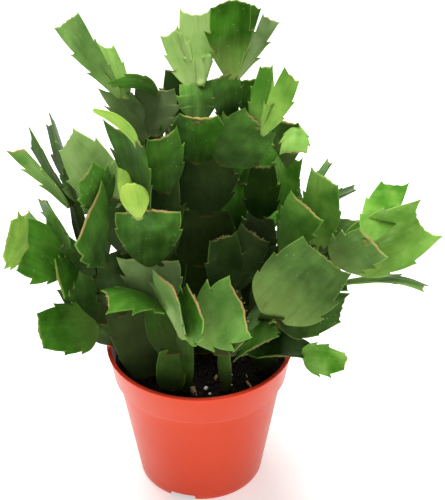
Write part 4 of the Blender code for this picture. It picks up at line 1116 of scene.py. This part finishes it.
# %% [markdown]
# The mesh of a stem is its pads joined into one piece, which stands for the stem's solid. What the
# finish needs is kept on each point: how far it is across and along its pad and from the margin,
# the pad's tone, a draw of its own, and how woody it is.
# %% The stems
WOOD = {MATURE: 0.0, WOODY: 0.3, YOUNG: 0.0}
PLANT_SEED = 5


def keep(mesh, name, values):
    """Keeps one number for every point of a mesh."""
    attribute = mesh.attributes.new(name, "FLOAT", "POINT")
    attribute.data.foreach_set("value", np.asarray(values, np.float32))


draw = np.random.default_rng(PLANT_SEED)
pad_pieces = []
for stem, pads in plant.items():
    copies = []
    for number, pad in pads.items():
        points, finish = shape_pad(pad, number, draw)
        copy = copy_with(pad_blank, points * MM)
        finish["tone"] = TONES_WITH_PAINTED_LIGHT_AND_SHADE.get(number, draw.uniform(*TONE_RANGE))
        finish["bloom_and_sheen"] = BLOOM_AND_PAINTED_SHEEN.get(number, draw.uniform(*BLOOM_AND_SHEEN_RANGE))
        finish["own"] = draw.random()
        finish["foot_glow"] = OWN_FOOT_GLOWS.get(number, FOOT_GLOW)
        finish["gloss"] = GLOSS.get(number, 0.0)
        finish["wood"] = WOOD[pad["age"]]
        for name, values in finish.items():
            keep(copy.data, name, np.full(len(points), values))
        copies.append(copy)
    piece = join_all(f"{stem}_pads", copies)
    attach(piece, "root")
    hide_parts(f"stem_{stem}")
    pad_pieces.append(piece)
    print(piece.name, len(piece.data.polygons), "faces")
bpy.data.objects.remove(pad_blank, do_unlink=True)

# %% [markdown]
# At the tip and in every notch sits an areole, a small cushion with short stiff bristles. One tuft
# of five is modelled as slim cones, and copies of it stand along each tip edge. The notches show
# only the cork of the cushion, as bristles there are too fine to be seen.
# %% Bristles
# Lean and heading of a tuft's bristles in degrees, and the radii of one that is 1 long
TUFT_LEANS = [(0, 0), (28, 0), (24, 72), (26, 150), (25, 230)]
BRISTLE_RADII = (0.055, 0.02)
TIP_TUFTS = 6
# Millimetres
TUFT_LENGTH = (0.7, 1.5)
TUFT_SINK = 0.3
# Share of the way out to the horns that carries tufts, and how far the outer ones splay
TUFT_REACH = 0.62
TUFT_SPLAY = 0.5

bristles = []
for lean, heading in TUFT_LEANS:
    bpy.ops.mesh.primitive_cone_add(
        vertices=3, radius1=BRISTLE_RADII[0], radius2=BRISTLE_RADII[1], depth=1, location=(0, 0, 0.5)
    )
    bristle = bpy.context.object
    apply_place(bristle)
    bristle.rotation_euler = (math.radians(lean), 0, math.radians(heading))
    apply_place(bristle)
    bristles.append(bristle)
tuft_blank = join_all("tuft", bristles)
tuft_points = points_of(tuft_blank)


def tuft(pad, station, side, outward, reach, draw):
    """A tuft on a pad's edge that points outward (shares across and along the pad)."""
    foot = on_pad(pad, [station], [side], [0.0])[0]
    ahead = on_pad(pad, [station + 0.01], [side], [0.0])[0]
    along = unit(ahead - foot)
    heading = unit(outward[0] * pad["across"] + outward[1] * along)
    facing = unit(pad["facing"] - (pad["facing"] @ heading) * heading)
    beside = np.cross(facing, heading)
    size = draw.uniform(*reach)
    spin = draw.uniform(0, 2 * math.pi)
    x = tuft_points[:, 0] * math.cos(spin) - tuft_points[:, 1] * math.sin(spin)
    y = tuft_points[:, 0] * math.sin(spin) + tuft_points[:, 1] * math.cos(spin)
    spread_out = np.outer(x, beside) + np.outer(y, facing) + np.outer(tuft_points[:, 2], heading)
    return copy_with(tuft_blank, (foot + size * spread_out) * MM)


draw = np.random.default_rng(PLANT_SEED + 1)
tufts = []
for pads in plant.values():
    for pad in pads.values():
        if pad["age"] != MATURE:
            continue
        reach = TUFT_REACH * pad["horn_half"]
        for step in range(TIP_TUFTS):
            side = reach * (2 * (step + draw.uniform(0.2, 0.8)) / TIP_TUFTS - 1)
            outward = (TUFT_SPLAY * side / pad["horn_half"], 1.0)
            tufts.append(tuft(pad, 1.0 - TUFT_SINK / pad["length"], side, outward, TUFT_LENGTH, draw))
bristle_piece = join_all("areole_bristles", tufts)
bpy.data.objects.remove(tuft_blank, do_unlink=True)
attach(bristle_piece, "root")
print("tufts:", len(tufts))

# %% [markdown]
# A cactus skin is a thick waxy cuticle over soft green flesh: it shines like oiled leather and lets
# a little light through. What the mesh keeps is read first, with the patterns that lie on the skin.
# Those are laid out in millimetres across and along each pad, and every pad has its own.
# %% What the skin is made from
skin, tree, shader = new_material("waxy cactus skin", {
    "IOR": 1.45,
    "Subsurface Weight": 0.15,
    "Subsurface Radius": (0.6, 1.0, 0.25),
    "Subsurface Scale": 0.003,
    "Specular IOR Level": 0.12,
    "Specular Tint": linear("#b4cc66"),
    "Coat Roughness": 0.16,
    "Coat IOR": 1.45,
})
# What the mesh keeps on its points, under the names that the last pad's finish has
got = {}
for name in finish:
    got[name] = add_node(tree, "ShaderNodeAttribute", attribute_name=name).outputs["Fac"]
apart = add_node(tree, "ShaderNodeMath", {0: got["own"], 1: 200.0}, operation="MULTIPLY").outputs[0]
on_skin = add_node(tree, "ShaderNodeCombineXYZ", {0: got["across"], 1: got["along"], 2: apart}).outputs[0]
drawn_out = add_node(tree, "ShaderNodeMapping", {"Vector": on_skin, "Scale": (0.42, 0.07, 1.0)}).outputs[0]
in_room = add_node(tree, "ShaderNodeTexCoord").outputs["Object"]
NOISES = {
    # Slow changes of tone, some 11 mm wide
    "cloud": (on_skin, 0.09, 2.0),
    # Veins, drawn out six times along the pad and 2 mm apart
    "vein": (drawn_out, 1.0, 3.0),
    # Pores, half a millimetre wide
    "pores": (on_skin, 2.2, 3.0),
    # Patches of cork, some 4 mm wide
    "cork": (in_room, 260.0, 6.0),
}
for name, (where, scale, detail) in NOISES.items():
    inputs = {"Vector": where, "Scale": scale, "Detail": detail}
    got[name] = add_node(tree, "ShaderNodeTexNoise", inputs).outputs["Fac"]
# Speckles: pale dots 0.6 mm across, in cells some 4 mm wide
got["dots"] = add_node(tree, "ShaderNodeTexVoronoi", {"Vector": on_skin, "Scale": 0.26}).outputs["Distance"]
print("the skin reads:", [*got])

# %% [markdown]
# The colour follows the pad's tone, with its painted light and shade, from black green to yellow
# green. A recipe works out how much of each thing shows, and then the colours are laid over one
# another by those shares.
# %% Colour of the skin
TONE_COLOURS = [(0.0, "#0c2205"), (0.2, "#1a3509"), (0.4, "#2b5411"), (0.6, "#47831e"),
                (0.8, "#86b646"), (1.0, "#bcdc5c")]
# What is made, how, and from what. A range is a source, its low and high, and what they become,
# which is 0 and 1 where the row doesn't say
RECIPE = [
    # Painted shade darkens a pad towards its foot where it has no foot glow
    ("near foot", "RANGE", "station", 0.75, 0.1),
    ("foot dark", "RANGE", "foot_glow", 0.0, 0.3, -0.16, 0.0),
    ("foot shade", "MULTIPLY", "near foot", "foot dark"),
    ("cloudy", "RANGE", "cloud", 0.3, 0.7, -0.09, 0.09),
    ("clouded", "ADD", "tone", "cloudy"),
    ("shown", "ADD", "clouded", "foot shade"),
    # Pale details fade out on a dark pad
    ("lit", "RANGE", "shown", 0.1, 0.5, 0.12, 1.0),
    # Painted light pales the foot of pads that have a foot glow
    ("foot pale", "RANGE", "station", 0.65, 0.05),
    ("glow", "MULTIPLY", "foot_glow", "foot pale"),
    ("patchy", "RANGE", "cloud", 0.25, 0.75, 0.45, 1.0),
    # The bloom in patches, partly wax and partly painted sheen
    ("wax", "MULTIPLY", "bloom_and_sheen", "patchy"),
    ("vein pale", "RANGE", "vein", 0.5, 0.8, 0.0, 0.16),
    ("pale veins", "MULTIPLY", "lit", "vein pale"),
    ("dark veins", "RANGE", "vein", 0.45, 0.2, 0.0, 0.25),
    ("dot pale", "RANGE", "dots", 0.11, 0.06, 0.0, 0.28),
    ("speckles", "MULTIPLY", "lit", "dot pale"),
    ("foot cork", "RANGE", "along", 1.6, 0.4, 0.0, 0.4),
    ("own edge", "RANGE", "own", 0.1, 0.9, 0.1, 0.9),
    ("edge", "RANGE", "to_margin", 0.6, 0.1, 0.0, 0.6),
    ("own line", "MULTIPLY", "own edge", "edge"),
    ("edge line", "MULTIPLY", "lit", "own line"),
    ("tip pale", "RANGE", "shown", 0.1, 0.4, 0.45, 1.0),
    ("tip cork", "MULTIPLY", "areole", "tip pale"),
    ("corky", "RANGE", "cork", 0.35, 0.65, 0.3, 1.0),
    ("old wood", "MULTIPLY", "wood", "corky"),
    # Roughness, relief and the shine of the wax
    ("skin rough", "RANGE", "cloud", 0.3, 0.7, 0.3, 0.46),
    ("wood rough", "MULTIPLY", "old wood", 0.5),
    ("rough", "ADD", "skin rough", "wood rough"),
    ("vein relief", "MULTIPLY", "vein", 0.6),
    ("pore relief", "MULTIPLY", "pores", 0.25),
    ("relief", "ADD", "vein relief", "pore relief"),
    ("streak", "RANGE", "cloud", 0.42, 0.62),
    ("shine", "MULTIPLY", "gloss", "streak"),
]
LAYERS = [
    # Painted light at the foot of a pad
    ("glow", "#9dba60"),
    # Colour of the bloom, partly wax and partly painted sheen
    ("wax", "#96ab74"),
    ("pale veins", "#8fb060"),
    ("dark veins", "#0f2206"),
    ("speckles", "#c2d6a8"),
    ("foot cork", "#6e5230"),
    ("edge line", "#94b050"),
    ("tip cork", "#b3945f"),
    ("old wood", "#3f4420"),
]

for name, way, *sources in RECIPE:
    inputs = {number: got.get(source, source) for number, source in enumerate(sources)}
    if way == "RANGE":
        made = add_node(tree, "ShaderNodeMapRange", inputs)
    else:
        made = add_node(tree, "ShaderNodeMath", inputs, operation=way)
    got[name] = made.outputs[0]
ramp = add_node(tree, "ShaderNodeValToRGB", {"Fac": got["shown"]})
stops = ramp.color_ramp.elements
while len(stops) < len(TONE_COLOURS):
    stops.new(0.5)
for stop, (position, tone) in zip(stops, TONE_COLOURS):
    stop.position = position
    stop.color = linear(tone)
colour = ramp.outputs["Color"]
for share, over in LAYERS:
    inputs = {0: got[share], 6: colour, 7: linear(over)}
    colour = add_node(tree, "ShaderNodeMix", inputs, data_type="RGBA").outputs[2]
tree.links.new(colour, shader.inputs["Base Color"])
print("layers of the skin:", len(LAYERS))

# %% [markdown]
# The wax is uneven, so its roughness changes slowly, and old wood is rougher. Veins and pores stand
# up by a fraction of a millimetre. A few pads turn a clear sheen to the light, which is a coat.
# %% Sheen and relief of the skin
tree.links.new(got["rough"], shader.inputs["Roughness"])
bumps = add_node(tree, "ShaderNodeBump", {"Height": got["relief"], "Strength": 0.3, "Distance": 0.0006})
tree.links.new(bumps.outputs[0], shader.inputs["Normal"])
tree.links.new(got["shine"], shader.inputs["Coat Weight"])
for piece in pad_pieces:
    piece.data.materials.clear()
    piece.data.materials.append(skin)
print(skin.name, len(tree.nodes), "nodes")

# %% [markdown]
# Bristles are dry, stiff hairs, straw coloured and dull.
# %% Bristle finish
bristle_straw = mottled("dry areole bristles", "#8a6238", "#d9c49a", 0.7, 1200.0)
bristle_piece.data.materials.append(bristle_straw)
print(bristle_piece.name, "in", bristle_straw.name)
